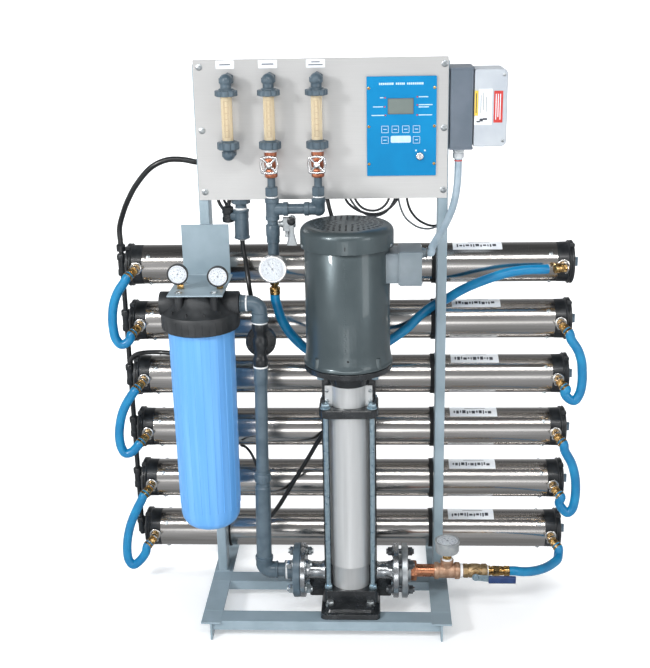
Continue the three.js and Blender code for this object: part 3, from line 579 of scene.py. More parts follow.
rubber = mottled("rubber", (0.010, 0.011, 0.012), (0.020, 0.021, 0.022), 0.62, grain=120, relief=0.1)
bolt_zinc = mottled("bolt_zinc", (0.50, 0.54, 0.56), (0.62, 0.66, 0.67), 0.3, grain=90, relief=0.05,
                    Metallic=1.0)

for name, side in (("left", -1), ("right", 1)):
    x0, x1 = sorted((side * UPRIGHT_OUTER, side * (UPRIGHT_OUTER - UPRIGHT_WIDE)))
    y0, y1 = UPRIGHT_FRONT, UPRIGHT_FRONT + UPRIGHT_DEEP
    wall = 2.5
    outer = np.array(rounded((x0 + x1) / 2, (y0 + y1) / 2, UPRIGHT_WIDE / 2, UPRIGHT_DEEP / 2, 3.5))
    inner = np.array(rounded((x0 + x1) / 2, (y0 + y1) / 2, UPRIGHT_WIDE / 2 - wall, UPRIGHT_DEEP / 2 - wall,
                             1.5))
    levels = [(outer, STAND_TOP + 0.5), (outer, UPRIGHT_TOP), (inner, UPRIGHT_TOP), (inner, STAND_TOP + 0.5)]
    tube = grid(np.array([np.column_stack([ring, np.full(len(ring), z)]) for ring, z in levels]), loop=True)
    straps = [tube, block((x0 - 6, x1 + 6), (y0 - 0.5, y1 + 18), (STAND_TOP, STAND_TOP + 4))]
    linings, bolts = [], []
    for z in HOUSING_Z:
        straps.append(sleeve((x0 + 2, 0, z), (x1 - 2, 0, z), 55.0, 53.4, 64))
        straps.append(block((x0 + 4, x1 - 4), (y1 - 1, -50.5), (z - 12, z + 12)))
        straps += [block((x0 + 3, x1 - 3), (50, 68), (z + s - 1.5, z + s + 1.5)) for s in (-5, 5)]
        linings.append(sleeve((x0 - 9, 0, z), (x1 + 3, 0, z), 53.3, HOUSING_RADIUS + 0.3, 64))
        bolts.append(rod(((x0 + x1) / 2, 61, z - 14), ((x0 + x1) / 2, 61, z + 14), 3, 16))
        bolts.append(rod(((x0 + x1) / 2, 61, z + 6.6), ((x0 + x1) / 2, 61, z + 12), 6, 6))
    piece(f"{name}_post", "unit", frame_paint, straps, 0.6, [f"{name}_upright"])
    piece(f"{name}_clamp_rubber", "unit", rubber, linings, 0.5)
    piece(f"{name}_clamp_bolts", "unit", bolt_zinc, bolts, 0.3)


# Housings: polished stainless tubes with black moulded caps. A cap has a stepped flange, a snap ring with two
# lugs, a brass elbow on its side for the hose, and on the right a blue-grey plug in its middle.
CAP_REACH, CAP_FLANGE = 43.0, 55.5

polished_steel = Finish("polished_steel", Metallic=1.0)
drawn = polished_steel.noise(9.0, 5.0, (0.35, 9, 9))
polished_steel.set("Base Color", polished_steel.mix(polished_steel.steps(drawn, 0.3, 0.7),
                                                    (0.52, 0.50, 0.475), (0.66, 0.64, 0.62)))
polished_steel.set("Roughness", 0.15 + drawn * 0.08)
polished_steel.bump(polished_steel.noise(160.0, 2.0, (0.02, 2, 2)), 0.008)
polished_steel = polished_steel.material
cap_black = mottled("cap_black", (0.010, 0.012, 0.014), (0.022, 0.025, 0.028), 0.36, grain=50, relief=0.14,
                    fine=700.0, Coat_Weight=0.1)
brass = mottled("brass", (0.50, 0.30, 0.10), (0.66, 0.45, 0.20), 0.26, grain=110, relief=0.1, Metallic=1.0)
washer_steel = mottled("washer_steel", (0.62, 0.60, 0.57), (0.74, 0.73, 0.70), 0.24, grain=80, relief=0.03,
                       Metallic=1.0)
plug_grey = mottled("plug_grey", (0.10, 0.16, 0.21), (0.15, 0.22, 0.28), 0.45, grain=90, relief=0.08)


def hose_tail(start, way, washer):
    """Brass fitting from start along way: hexagon, groove, collar and the barbed tail inside the hose.
    Returns the brass shapes; washer collects the steel ring under the hexagon."""
    at = lambda s: start + s * way
    washer.append(turned(at(-1), at(2.5), [(15, 0), (15, 2.6), (9, 3.5), (9, 0)], 40, loop=True))
    return [turned(at(0), at(30), [(10.5, 0), (10.5, 4), (8.6, 5), (8.6, 7), (11.5, 8.2), (11.5, 14)], 6),
            turned(at(9), at(30), [(9.2, 0), (9.2, 8), (12.6, 8.6), (12.6, 11), (10.2, 12), (10.2, 14),
                                   (12.9, 15), (13.0, 21), (10, 22)], 32)]


for k, z in enumerate(HOUSING_Z):
    left, right = HOUSING_LEFT, HOUSING_LEFT + HOUSING_LENGTH
    piece(f"housing_tube_{k + 1}", "unit", polished_steel,
          [sleeve((left + CAP_REACH, 0, z), (right - CAP_REACH, 0, z), HOUSING_RADIUS, 48.7, 128)], 0.3,
          [f"housing_shell_{k + 1}"])
    caps, screws, fittings, washers, plugs = [], [], [], [], []
    for side, end in ((-1, left), (1, right)):
        into = (end - side * 100, 0, z)
        step = [(0.5, 9), (20, 9), (22, 2), (36, 2), (38, 7), (45, 7), (47, 0), (CAP_FLANGE - 4, 0),
                (CAP_FLANGE, 2.5), (CAP_FLANGE, 7), (53.6, 8), (53.6, 9.5), (CAP_FLANGE, 10.5),
                (CAP_FLANGE, 13), (51.6, 16), (50.9, CAP_REACH - 1), (49.5, CAP_REACH), (0.5, CAP_REACH)]
        caps.append(turned((end, 0, z), into, step, 72))
        for turn in range(8):
            t = math.radians(turn * 45 + 22)
            rib = np.array([math.cos(t), math.sin(t)])
            a = (end - side * 2, 23 * rib[0], z + 23 * rib[1])
            b = (end - side * 2, 46 * rib[0], z + 46 * rib[1])
            caps.append(rod(a, b, 3, 8))
        for turn in (64, 244):
            t = math.radians(turn)
            spot = np.array([end - side * 6, CAP_FLANGE * -math.cos(t), z + CAP_FLANGE * math.sin(t)])
            caps.append(block((spot[0] - 6, spot[0] + 6), (spot[1] - 7, spot[1] + 7),
                              (spot[2] - 4, spot[2] + 3.5)))
        for turn in (38, -62, 128, 218):
            t = math.radians(turn)
            out = np.array([0, -math.cos(t), math.sin(t)])
            base = np.array([end - side * (CAP_REACH + 17), 0, z]) + out * 49.5
            screws.append(turned(base, base + out * 10, [(5.5, 0), (5.5, 2.2), (3.6, 3.4), (2.4, 3.4),
                                                         (2.4, 2.4), (0.2, 2.4)], 20))
            screws.append(rod(base + out * 1, base + out * 5.2, 2.0, 6))
        start, stop, way = cap_port(k, side)
        caps.append(turned((start[0], -42, start[2]), (start[0], PORT_Y, start[2]),
                           [(15, 0), (15, 8), (13.5, 10), (13.5, 12), (0.5, 12)], 40))
        washers.append(turned((start[0], -54, start[2]), (start[0], PORT_Y, start[2]),
                              [(15, 0), (15.5, 1), (15.5, 3), (14, 4), (9, 4), (9, 0)], 40, loop=True))
        fittings.append(turned((start[0], -50, start[2]), (start[0], PORT_Y, start[2]),
                               [(10, 0), (10, 12), (9.4, 13), (11.5, 14), (11.5, 20)], 8))
        fittings.append(turned(start + np.array([0, 10, 0]), start - np.array([0, 8, 0]),
                               [(9.6, 0), (11.2, 3), (11.4, 12), (9, 18)], 32))
        fittings += hose_tail(start - way * 2, way, washers)
    plugs.append(turned((right - 2, 0, z), (right + 14, 0, z), [(13, 0), (13, 5), (11.5, 6), (8.6, 6.5),
                                                                (8.4, 14), (7.4, 15), (0.3, 15)], 24))
    plugs.append(block((right + 6, right + 14.6), (-2.4, 2.4), (z - 11.5, z + 11.5)))
    caps.append(turned((left + 2, 0, z), (left - 6, 0, z), [(13, 0), (13, 3), (9.4, 4), (9.0, 6.6)], 24))
    piece(f"end_caps_{k + 1}", "unit", cap_black, caps, 0.6, [f"membrane_element_{k + 1}"])
    piece(f"cap_screws_{k + 1}", "unit", bolt_zinc, screws, 0.2)
    piece(f"cap_fittings_{k + 1}", "unit", brass, fittings, 0.4)
    piece(f"cap_washers_{k + 1}", "unit", washer_steel, washers, 0.3)
    piece(f"cap_plug_{k + 1}", "unit", plug_grey, plugs, 0.4)


# Labels on the housings: white vinyl wrapped round the tube's upper front, printed with plain dark bars.
LABEL_LEFT, LABEL_RIGHT, LABEL_LOW, LABEL_HIGH = 325.0, 450.0, 53.0, 104.0

label_white = mottled("label_white", (0.78, 0.82, 0.87), (0.84, 0.87, 0.90), 0.4, grain=30, relief=0.02,
                      Coat_Weight=0.3)
print_black = mottled("print_black", (0.03, 0.035, 0.05), (0.06, 0.065, 0.08), 0.5, grain=200, relief=0.01)


def wrapped(z, left, right, low, high, lift):
    """Patch of a housing's surface between two angles above the horizontal, closed by its inner side:
    point = (x, -r cos t, z + r sin t)."""
    t = np.radians(np.linspace(low, high, 12))
    rings = []
    for x in (left, right):
        outline = [(-r * np.cos(a), z + r * np.sin(a))
                   for r, angles in ((HOUSING_RADIUS + lift, t), (HOUSING_RADIUS - 0.1, t[::-1]))
                   for a in angles]
        rings.append([(x, y, h) for y, h in outline])
    return grid(np.array(rings))


BAR_STARTS = (10, 17, 27, 33, 45, 52, 58, 70, 77, 88, 94, 101)
BAR_WIDTHS = (4, 7, 3, 9, 4, 3, 9, 4, 8, 3, 4, 9)
for k, z in enumerate(HOUSING_Z):
    piece(f"housing_label_{k + 1}", "unit", label_white,
          [wrapped(z, LABEL_LEFT, LABEL_RIGHT, LABEL_LOW, LABEL_HIGH, 0.35)], 0)
    prints = [wrapped(z, LABEL_LEFT + a, LABEL_LEFT + a + w, 63 + (n * 3 + k) % 5, 79 - (n * 5 + k) % 6, 0.45)
              for n, (a, w) in enumerate(zip(BAR_STARTS, BAR_WIDTHS))]
    prints.append(wrapped(z, LABEL_LEFT + 40, LABEL_RIGHT - 30, 90, 93, 0.45))
    piece(f"housing_label_print_{k + 1}", "unit", print_black, prints, 0)


# Permeate line: black polypropylene tees at the left caps' middles, joined by short tubes with union nuts.
manifold = [rod((MANIFOLD_X, 0, HOUSING_Z[-1] - 22), (MANIFOLD_X, 0, 945), 6.6, 28)]
for k, z in enumerate(HOUSING_Z):
    nut = [(8, 0), (12, 1), (12.4, 14), (10.5, 17), (7, 18)]
    manifold.append(rod((MANIFOLD_X, 0, z - 14), (MANIFOLD_X, 0, z + 14), 10.4, 28))
    manifold.append(rod((MANIFOLD_X, 0, z), (HOUSING_LEFT - 6, 0, z), 8.8, 24))
    for way in (-1, 1):
        if way < 0 and k == HOUSINGS - 1:
            continue
        a, b = (MANIFOLD_X, 0, z + way * 12), (MANIFOLD_X, 0, z + way * 60)
        manifold.append(turned(a, b, nut, 12))
    for n in range(12):
        t = n * math.pi / 6
        spot = (MANIFOLD_X + 11.6 * math.cos(t), 11.6 * math.sin(t))
        manifold.append(rod((*spot, z + 14), (*spot, z + 26), 1.3, 6))
manifold.append(turned((MANIFOLD_X, 0, 925), (MANIFOLD_X, 0, 960), [(8, 0), (12, 1), (12, 16), (8, 20)], 12))
piece("permeate_tees", "unit", cap_black, manifold, 0.5, ["permeate_manifold"])


# Grey PVC: solvent-cemented sockets, each thicker than the pipe with a rolled lip at its mouth, and white
# thread tape where a threaded joint shows a turn or two.
pvc = mottled("pvc", (0.062, 0.095, 0.122), (0.088, 0.128, 0.160), 0.36, grain=35, relief=0.12, fine=350.0,
              Coat_Weight=0.12)
tape_white = mottled("tape_white", (0.72, 0.74, 0.75), (0.86, 0.87, 0.88), 0.6, grain=260, relief=0.2)


def socket(a, b, radius, lip=1.6, lip_long=6.0, sides=48):
    """PVC socket from a to b with a lip at b."""
    h = np.linalg.norm(np.subtract(b, a))
    return turned(a, b, [(radius - 1, 0), (radius, 1), (radius, h - lip_long),
                         (radius + lip, h - lip_long + 1.5),
                         (radius + lip, h - 0.8), (radius - 0.6, h)], sides)


def tape(a, b, radius):
    """Turns of thread tape: a band whose radius ripples along it."""
    h = np.linalg.norm(np.subtract(b, a))
    s = np.linspace(0, h, 9)
    return turned(a, b, [(radius + 0.35 * math.sin(4 * v), v) for v in s], 40)


def nut(a, b, radius, sides=6, phase=0.0):
    """Hexagon or union nut from a to b with turned-down corners."""
    h = np.linalg.norm(np.subtract(b, a))
    return turned(a, b, [(radius * 0.9, 0), (radius, 1.5), (radius, h - 1.5), (radius * 0.9, h)], sides,
                  phase=phase)


def sphere(middle_point, radius, sides=32):
    """Ball, as a profile of half a circle."""
    m = np.asarray(middle_point, float)
    t = np.radians(np.linspace(4, 176, 17))
    profile = [(radius * math.sin(a), radius - radius * math.cos(a)) for a in t]
    return turned(m - (0, 0, radius), m, profile, sides)


# Permeate outlet: a bulkhead tee under the panel with a flow switch on its side.
tee_x, tee_y = -204.0, -92.0
outlet_tee = [
    rod((tee_x, tee_y, 1080), (tee_x, tee_y, 1110), 11, 32),
    nut((tee_x, tee_y, 1067), (tee_x, tee_y, 1083), 24, 8),
    rod((tee_x, tee_y, 1045), (tee_x, tee_y, 1070), 14, 32),
    socket((tee_x, tee_y, 1030), (tee_x, tee_y, 1052), 18.5),
    socket((tee_x, tee_y, 1020), (tee_x, tee_y, 979), 18),
    rod((tee_x, tee_y, 1015), (tee_x, tee_y, 1035), 17.6, 40),
    socket((tee_x, tee_y, 1036), (tee_x - 26, tee_y, 1036), 12.5, 1.2, 5),
]
piece("permeate_tee", "unit", pvc, outlet_tee, 0.6, ["permeate_outlet"])
switch = [turned((tee_x - 33, tee_y, 1020), (tee_x - 33, tee_y, 1062),
                 [(10, 0), (14.6, 2), (15, 12), (13, 14), (13, 22), (15, 24), (14, 38), (8, 41)], 20),
          rod((tee_x - 31, tee_y + 3, 1060), (tee_x - 26, tee_y + 5, 1100), 5, 16)]
piece("flow_switch", "unit", cap_black, switch, 0.6)
piece("permeate_tee_tape", "unit", tape_white,
      [tape((tee_x, tee_y, 1052), (tee_x, tee_y, 1057), 15.4), tape((tee_x, tee_y, 975.5),
                                                                    (tee_x, tee_y, 979), 11)])


# Filter: painted bracket, black ribbed head with two pipe bosses, a deep collar, and a blue ribbed bowl that
# screws into it. A wound cartridge stands inside. Two small gauges show the pressure before and after it.
FILTER_X, FILTER_Y = -295.0, -240.0
COLLAR_LOW, HEAD_TOP, BOWL_LOW = 795.0, 889.0, 266.0

bowl_blue = Finish("bowl_blue", Coat_Weight=0.25)
streaks = bowl_blue.noise(70.0, 2.0, (1, 1, 0.02))
bowl_blue.set("Base Color", bowl_blue.mix(bowl_blue.steps(streaks, 0.35, 0.7), (0.105, 0.345, 0.745),
                                          (0.155, 0.425, 0.83)))
bowl_blue.set("Roughness", 0.34 + streaks * 0.12)
bowl_blue.bump(streaks * 0.7 + bowl_blue.noise(240.0) * 0.3, 0.5)
bowl_blue = bowl_blue.material
thread_white = mottled("thread_white", (0.72, 0.71, 0.68), (0.84, 0.83, 0.80), 0.85, grain=160, relief=0.5,
                       stretch=(1, 1, 4))
head_black = mottled("head_black", (0.014, 0.016, 0.018), (0.034, 0.037, 0.040), 0.5, grain=22, relief=0.25,
                     fine=420.0)

x0, x1 = FILTER_X - 57, FILTER_X + 61
plate_back, shelf_z = UPRIGHT_FRONT - 0.3, HEAD_TOP + 0.4
bracket = [
    block((x0, x1), (plate_back - 4, plate_back), (shelf_z, 1020)),
    block((FILTER_X - 66, FILTER_X + 66), (-312, plate_back - 3), (shelf_z, shelf_z + 3.6)),
    rod((x0 + 4, plate_back - 6, shelf_z + 3), (x1 - 4, plate_back - 6, shelf_z + 3), 3.2, 12),
]
piece("filter_plate", "unit", frame_paint, bracket, 0.7, ["filter_bracket"])
piece("filter_plate_screws", "unit", bolt_zinc,
      [shape for sx in (-42, 42) for sy in (-290, -200) for shape in (
          nut((FILTER_X + sx, sy, shelf_z + 3.4), (FILTER_X + sx, sy, shelf_z + 8), 6.4),
          rod((FILTER_X + sx, sy, shelf_z + 3.4), (FILTER_X + sx, sy, shelf_z + 4.4), 9, 24))], 0.3)

foot, top = (FILTER_X, FILTER_Y, COLLAR_LOW), (FILTER_X, FILTER_Y, HEAD_TOP)
head = [
    turned(foot, top, [(80, 0), (91, 0), (94, 3), (94.5, 36), (92, 42), (84, 46), (78, 52), (70, 60),
                       (60, 70), (52, 88), (40, 90)], 72),
    turned((FILTER_X - 96, FILTER_Y, FILTER_PORT_Z), (FILTER_X + 96, FILTER_Y, FILTER_PORT_Z),
           [(22, 4), (24, 0), (29, 0), (30, 2), (30, 40), (26, 46), (26, 146), (30, 152), (30, 190),
            (29, 192), (24, 192), (22, 188)], 48),
    block((FILTER_X - 60, FILTER_X + 60), (FILTER_Y - 34, FILTER_Y + 34), (HEAD_TOP - 14, HEAD_TOP - 5)),
]
for sx in (-42, 42):
    for sy in (-290, -200):
        head.append(rod((FILTER_X + sx, sy, COLLAR_LOW + 38), (FILTER_X + sx, sy, HEAD_TOP), 9.5, 24))
for turn in range(36):
    t = math.radians(turn * 10)
    c, n = math.cos(t), math.sin(t)
    head.append(rod((FILTER_X + 93.6 * c, FILTER_Y + 93.6 * n, COLLAR_LOW + 5),
                    (FILTER_X + 93.6 * c, FILTER_Y + 93.6 * n, COLLAR_LOW + 34), 1.6, 8))
for turn in range(12):
    t = math.radians(turn * 30 + 15)
    c, n = math.cos(t), math.sin(t)
    head.append(bar([(FILTER_X + r * c + w * n, FILTER_Y + r * n - w * c)
                     for r, w in ((50, -1.5), (50, 1.5), (84, 1.5), (84, -1.5))][::-1], "z", COLLAR_LOW + 38,
                    COLLAR_LOW + 54))
piece("filter_cap", "unit", head_black, head, 0.8, ["filter_head"])

bowl_height = COLLAR_LOW - 0.3 - BOWL_LOW
bowl_profile = [(0.5, 0), (24, 0.5), (44, 3.5), (58, 9), (67, 17), (72.5, 28), (75, 42), (75.6, 70),
                (76.2, 110), (80, bowl_height), (74, bowl_height), (70, 100), (69, 48), (58, 24), (0.5, 14)]
low = (FILTER_X, FILTER_Y, BOWL_LOW)
bowl = [turned(low, foot, bowl_profile, 96)]
for turn in range(24):
    t = math.radians(turn * 15 + 6)
    c, n = math.cos(t), math.sin(t)
    bowl.append(rod((FILTER_X + 75.3 * c, FILTER_Y + 75.3 * n, BOWL_LOW + 58),
                    (FILTER_X + 79.0 * c, FILTER_Y + 79.0 * n, COLLAR_LOW - 2), 1.5, 8))
bowl.append(rod((FILTER_X, FILTER_Y, BOWL_LOW - 0.0), (FILTER_X, FILTER_Y, BOWL_LOW + 6), 14, 6))
piece("filter_bowl", "filter_bowl", bowl_blue, bowl, 0.5, ["filter_sump"])

winds = np.linspace(0, 1, 90)
wound = [(57 + 0.5 * math.sin(40 * v * math.pi), 27 + v * (bowl_height - 30)) for v in winds]
cartridge = [turned(low, foot, [(15, 27), *wound, (15, wound[-1][1])], 48)]
piece("wound_cartridge", "filter_bowl", thread_white, cartridge, 0, ["filter_cartridge"])


# Pressure gauges: pressed steel or rubber-covered case, white dial with a ring of marks, a needle on a hub,
# and a clear window. gauge() builds one at any place and angle.
dial_white = mottled("dial_white", (0.56, 0.61, 0.66), (0.62, 0.67, 0.71), 0.5, grain=60, relief=0.01)
mark_grey = mottled("mark_grey", (0.10, 0.12, 0.15), (0.16, 0.18, 0.21), 0.5, grain=300, relief=0.01)
gauge_steel = mottled("gauge_steel", (0.74, 0.75, 0.75), (0.84, 0.85, 0.86), 0.2, grain=60, relief=0.02,
                      Metallic=0.9)
gauge_rubber = mottled("gauge_rubber", (0.25, 0.27, 0.28), (0.33, 0.35, 0.36), 0.55, grain=60, relief=0.2)
window = Finish("window", Base_Color=(0.95, 0.97, 1.0), Roughness=0.05, Alpha=0.16, Coat_Weight=0.5)
window.bump(window.noise(20.0), 0.01)
window = window.material
ARC_START, ARC_END = 225, -45


def gauge(name, place, face, up, radius, deep, case_finish, needle, stands_for=()):
    """Gauge whose dial faces along face, with its case behind place. Marks run round three quarters of the
    dial; needle is the reading from 0 to 1."""
    place, face, up = (np.asarray(v, float) for v in (place, face, up))
    right = np.cross(up, face)
    r = radius

    def on_dial(turn, out, lift):
        t = math.radians(turn)
        return place + face * lift + out * (math.cos(t) * right + math.sin(t) * up)

    def stroke(turn, inner, outer, wide, lift):
        a, b = on_dial(turn, inner, lift), on_dial(turn, outer, lift)
        t = math.radians(turn)
        beside = (-math.sin(t) * right + math.cos(t) * up) * wide / 2
        ring = np.array([a - beside, a + beside, b + beside, b - beside])
        return grid(np.array([ring, ring + face * 0.25]))

    case = [turned(place - face * deep, place, [(r * 0.55, 0), (r * 0.9, 1), (r * 0.94, 4),
                                                (r * 0.94, deep - 5),
                                                (r, deep - 4), (r, deep - 0.6), (r * 0.96, deep),
                                                (r * 0.86, deep - 0.3), (r * 0.85, deep - 2.6),
                                                (0.5, deep - 2.6)],
                   56)]
    dial = [turned(place - face * 2.5, place, [(r * 0.845, 0), (r * 0.845, 0.7)], 56)]
    marks = [stroke(t, r * (0.66 if n % 5 else 0.58), r * 0.76, r * (0.018 if n % 5 else 0.032), -1.8)
             for n, t in enumerate(np.linspace(ARC_START, ARC_END, 41))]
    marks += [stroke(t, r * 0.38, r * 0.48, r * 0.09, -1.8) for t in np.linspace(ARC_START, ARC_END, 7)]
    turn = ARC_START + (ARC_END - ARC_START) * needle
    marks += [stroke(turn, -r * 0.2, r * 0.62, r * 0.035, -1.3),
              turned(place - face * 1.9, place, [(r * 0.09, 0), (r * 0.09, 0.9), (r * 0.05, 1.1)], 20)]
    piece(f"{name}_case", "unit", case_finish, case, 0.3, stands_for)
    piece(f"{name}_dial", "unit", dial_white, dial, 0)
    piece(f"{name}_marks", "unit", mark_grey, marks, 0)
    glass = turned(place - face * 0.9, place, [(r * 0.86, 0), (r * 0.86, 0.4), (r * 0.5, 0.9), (0.5, 1.0)],
                   48)
    piece(f"{name}_window", "unit", window, [glass], 0)


for name, x, z in (("filter_gauge_left", -338, 936), ("filter_gauge_right", -243, 930)):
    gauge(name, (x, -281, z), (0, -1, 0), (0, 0, 1), 25.5, 18, cap_black, 0.58, [name])
    legs = [rod((x, -263, z), (x, -250, z), 5.5, 24), sphere((x, -248, z), 6.5),
            rod((x, -248, z), (x, -248, shelf_z + 12), 5.2, 24),
            nut((x, -248, shelf_z + 4), (x, -248, shelf_z + 14), 9),
            nut((x, -248, shelf_z + 18), (x, -248, shelf_z + 27), 8)]
    piece(f"{name}_stem", "unit", brass, legs, 0.4)


# Pump: a cast foot and ported base in black enamel, a satin steel sleeve, a head with the motor's stool, four
# zinc-plated staybolts from base to head, and a plain guard over the coupling.
SLEEVE_RADIUS, BASE_TOP, HEAD_LOW, PUMP_HEAD_TOP, STOOL_TOP = 51.0, 100.0, 575.0, 597.0, 706.0

enamel_black = mottled("enamel_black", (0.010, 0.012, 0.014), (0.020, 0.023, 0.026), 0.24, grain=30,
                       relief=0.35, fine=260.0, Coat_Weight=0.35)
satin_steel = Finish("satin_steel", Metallic=0.62)
lines = satin_steel.noise(60.0, 3.0, (1, 1, 0.04))
satin_steel.set("Base Color", satin_steel.mix(satin_steel.steps(lines, 0.3, 0.7), (0.56, 0.575, 0.58),
                                              (0.65, 0.665, 0.67)))
satin_steel.set("Roughness", 0.30 + satin_steel.noise(14.0) * 0.12)
satin_steel.bump(satin_steel.noise(500.0, 2.0, (1, 1, 0.05)), 0.010)
satin_steel = satin_steel.material
zinc_blue = mottled("zinc_blue", (0.30, 0.42, 0.50), (0.44, 0.56, 0.62), 0.32, grain=90, relief=0.08,
                    Metallic=0.85)
zinc_plate = mottled("zinc_plate", (0.38, 0.41, 0.43), (0.52, 0.55, 0.56), 0.40, grain=60, relief=0.1,
                     Metallic=0.95)
port_steel = mottled("port_steel", (0.40, 0.42, 0.44), (0.56, 0.58, 0.60), 0.24, grain=70, relief=0.15,
                     fine=400.0, Metallic=1.0)
dark_bolt = mottled("dark_bolt", (0.10, 0.11, 0.12), (0.20, 0.21, 0.22), 0.34, grain=90, relief=0.1,
                    Metallic=0.9)


def cast(cx, cy, half_x, half_y, radius, z0, z1, taper=0.0):
    """Block with round upright corners, drawn in by taper at its top."""
    low = np.array(rounded(cx, cy, half_x, half_y, radius))
    high = np.array(rounded(cx, cy, half_x - taper, half_y - taper, max(radius - taper, 1)))
    rings = [np.column_stack([ring, np.full(len(ring), z)]) for ring, z in ((low, z0), (high, z1))]
    return grid(np.array(rings))


def flange(x0, x1, radius):
    """Round pipe flange on the pump's port line, from x0 to x1, with both edges broken by 1.5 mm."""
    thick = x1 - x0
    edge = [(16, 0), (radius - 1.5, 0), (radius, 1.5), (radius, thick - 1.5), (radius - 1.5, thick),
            (16, thick)]
    return turned((x0, PUMP_Y, PUMP_PORT_Z), (x1, PUMP_Y, PUMP_PORT_Z), edge, 72)


def flange_bolts(x0, x1):
    """Four studs with a washer and a nut at each end, on a 100 mm circle."""
    made = []
    for turn in (45, 135, 225, 315):
        t = math.radians(turn)
        y, z = PUMP_Y + 50 * math.cos(t), PUMP_PORT_Z + 50 * math.sin(t)
        made.append(rod((x0 - 17, y, z), (x1 + 17, y, z), 7.0, 20))
        for a, b in ((x0, x0 - 11), (x1, x1 + 11)):
            way = math.copysign(1, b - a)
            made.append(rod((a, y, z), (a + way * 2.2, y, z), 14, 28))
            made.append(nut((a + way * 2, y, z), (b + way * 2, y, z), 12.5))
    return made


base = [
    cast(PUMP_X, PUMP_Y, 76, 112, 14, STAND_TOP + 0.3, 64, 2),
    cast(PUMP_X, PUMP_Y, 73, 58, 18, 60, BASE_TOP, 3),
    cast(PUMP_X, PUMP_Y, 62, 100, 12, 62, 70, 6),
]
ports = []
for end in (-68, 185):
    inward = PUMP_X - math.copysign(SLEEVE_RADIUS + 2, PUMP_X - end)
    ports.append(turned((end, PUMP_Y, PUMP_PORT_Z), (inward, PUMP_Y, PUMP_PORT_Z),
                       [(16, 2), (24, 4), (27, 16), (23, 24), (22, 52), (25, 60), (30, abs(inward - end))],
                       48))
    base.append(cast((end + inward) / 2 + math.copysign(14, inward - end), PUMP_Y, 30, 14, 6, 62,
                     PUMP_PORT_Z - 8))
t = np.radians(np.linspace(-25, 205, 48))
for z0, z1, r0, r1 in ((BASE_TOP - 2, 118, 51.8, 58), (116, 156, 51.8, 56)):
    arc = [(PUMP_X + r1 * math.cos(a), PUMP_Y + r1 * math.sin(a)) for a in t]
    arc += [(PUMP_X + r0 * math.cos(a), PUMP_Y + r0 * math.sin(a)) for a in t[::-1]]
    base.append(bar(arc, "z", z0, z1))
piece("pump_foot", "unit", enamel_black, base, 1.2, ["pump_base"])
piece("pump_flanges", "unit", port_steel, [flange(-68, -54.5, 69.6), flange(170, 184.6, 69.6)],
      0.5)
piece("pump_ports", "unit", port_steel, ports, 0.5)
foot_screws = []
for x in (8.7, 111.5):
    foot_screws += [rod((x, -302, 62), (x, -302, 66.5), 12.5, 32), nut((x, -302, 66), (x, -302, 76), 10)]
piece("pump_foot_screws", "unit", bolt_zinc, foot_screws, 0.4)
piece("flange_bolts_left", "unit", bolt_zinc, flange_bolts(-86, -54.5), 0.3)
piece("flange_bolts_right", "unit", dark_bolt, flange_bolts(170, 208), 0.3)

skirt = [(SLEEVE_RADIUS - 1.6, 0.3), (SLEEVE_RADIUS, 0.3), (SLEEVE_RADIUS, 60), (SLEEVE_RADIUS + 0.5, 61.4),
         (SLEEVE_RADIUS + 0.5, 63.4), (SLEEVE_RADIUS, 64.8), (SLEEVE_RADIUS, HEAD_LOW - BASE_TOP - 0.3),
         (SLEEVE_RADIUS - 1.6, HEAD_LOW - BASE_TOP - 0.3)]
piece("pump_casing", "unit", satin_steel,
      [turned((PUMP_X, PUMP_Y, BASE_TOP), (PUMP_X, PUMP_Y, HEAD_LOW), skirt, 128, loop=True)], 0,
      ["pump_sleeve"])

stool = [
    cast(PUMP_X, PUMP_Y, 73, 58, 24, HEAD_LOW, PUMP_HEAD_TOP - 3, 0),
    cast(PUMP_X, PUMP_Y, 73, 58, 24, PUMP_HEAD_TOP - 4, PUMP_HEAD_TOP, 3),
    turned((PUMP_X, PUMP_Y, PUMP_HEAD_TOP - 2), (PUMP_X, PUMP_Y, PUMP_HEAD_TOP + 12),
           [(40, 0), (40, 5), (26, 8), (24, 14), (16, 14), (16, 0)], 48),
]
for side in (-1, 1):
    side_view = ((48, 596), (62, 596), (60, 640), (64, 668), (50, 668), (47, 640))
    leg = [(z, PUMP_X + side * s) for s, z in side_view]
    rib = [(z, PUMP_X + side * s) for s, z in ((61, 600), (66, 606), (66, 660), (61, 664))]
    stool.append(bar(leg, "y", PUMP_Y - 22, PUMP_Y + 22))
    stool.append(bar(rib, "y", PUMP_Y - 3, PUMP_Y + 3))
    # Black bars outside the staybolts, from base to head: painted shade, solid dark blocks where the pump's
    # sides lie in shadow.
    stool.append(block(sorted((PUMP_X + side * 63.4, PUMP_X + side * 67)), (PUMP_Y - 27, PUMP_Y + 27),
                       (BASE_TOP - 3, HEAD_LOW + 3)))
cone = [(30, 0), (50, 0), (66, 37), (101, 39), (107, 41), (107, 53.6), (105, 54.8), (20, 54.8)]
stool.append(turned((PUMP_X, PUMP_Y, 651), (PUMP_X, PUMP_Y, STOOL_TOP), cone, 96))
for turn in range(8):
    t = math.radians(turn * 45 + 22.5)
    c, n = math.cos(t), math.sin(t)
    corners = ((46, 2.5), (46, -2.5), (97, -2.5), (97, 2.5))
    fin = [(PUMP_X + r * c - w * n, PUMP_Y + r * n + w * c) for r, w in corners]
    stool.append(bar(fin[::-1], "z", 682, 692))
piece("pump_stool_and_shade_bars", "unit", enamel_black, stool, 1.0, ["motor_stool"])
stay = []
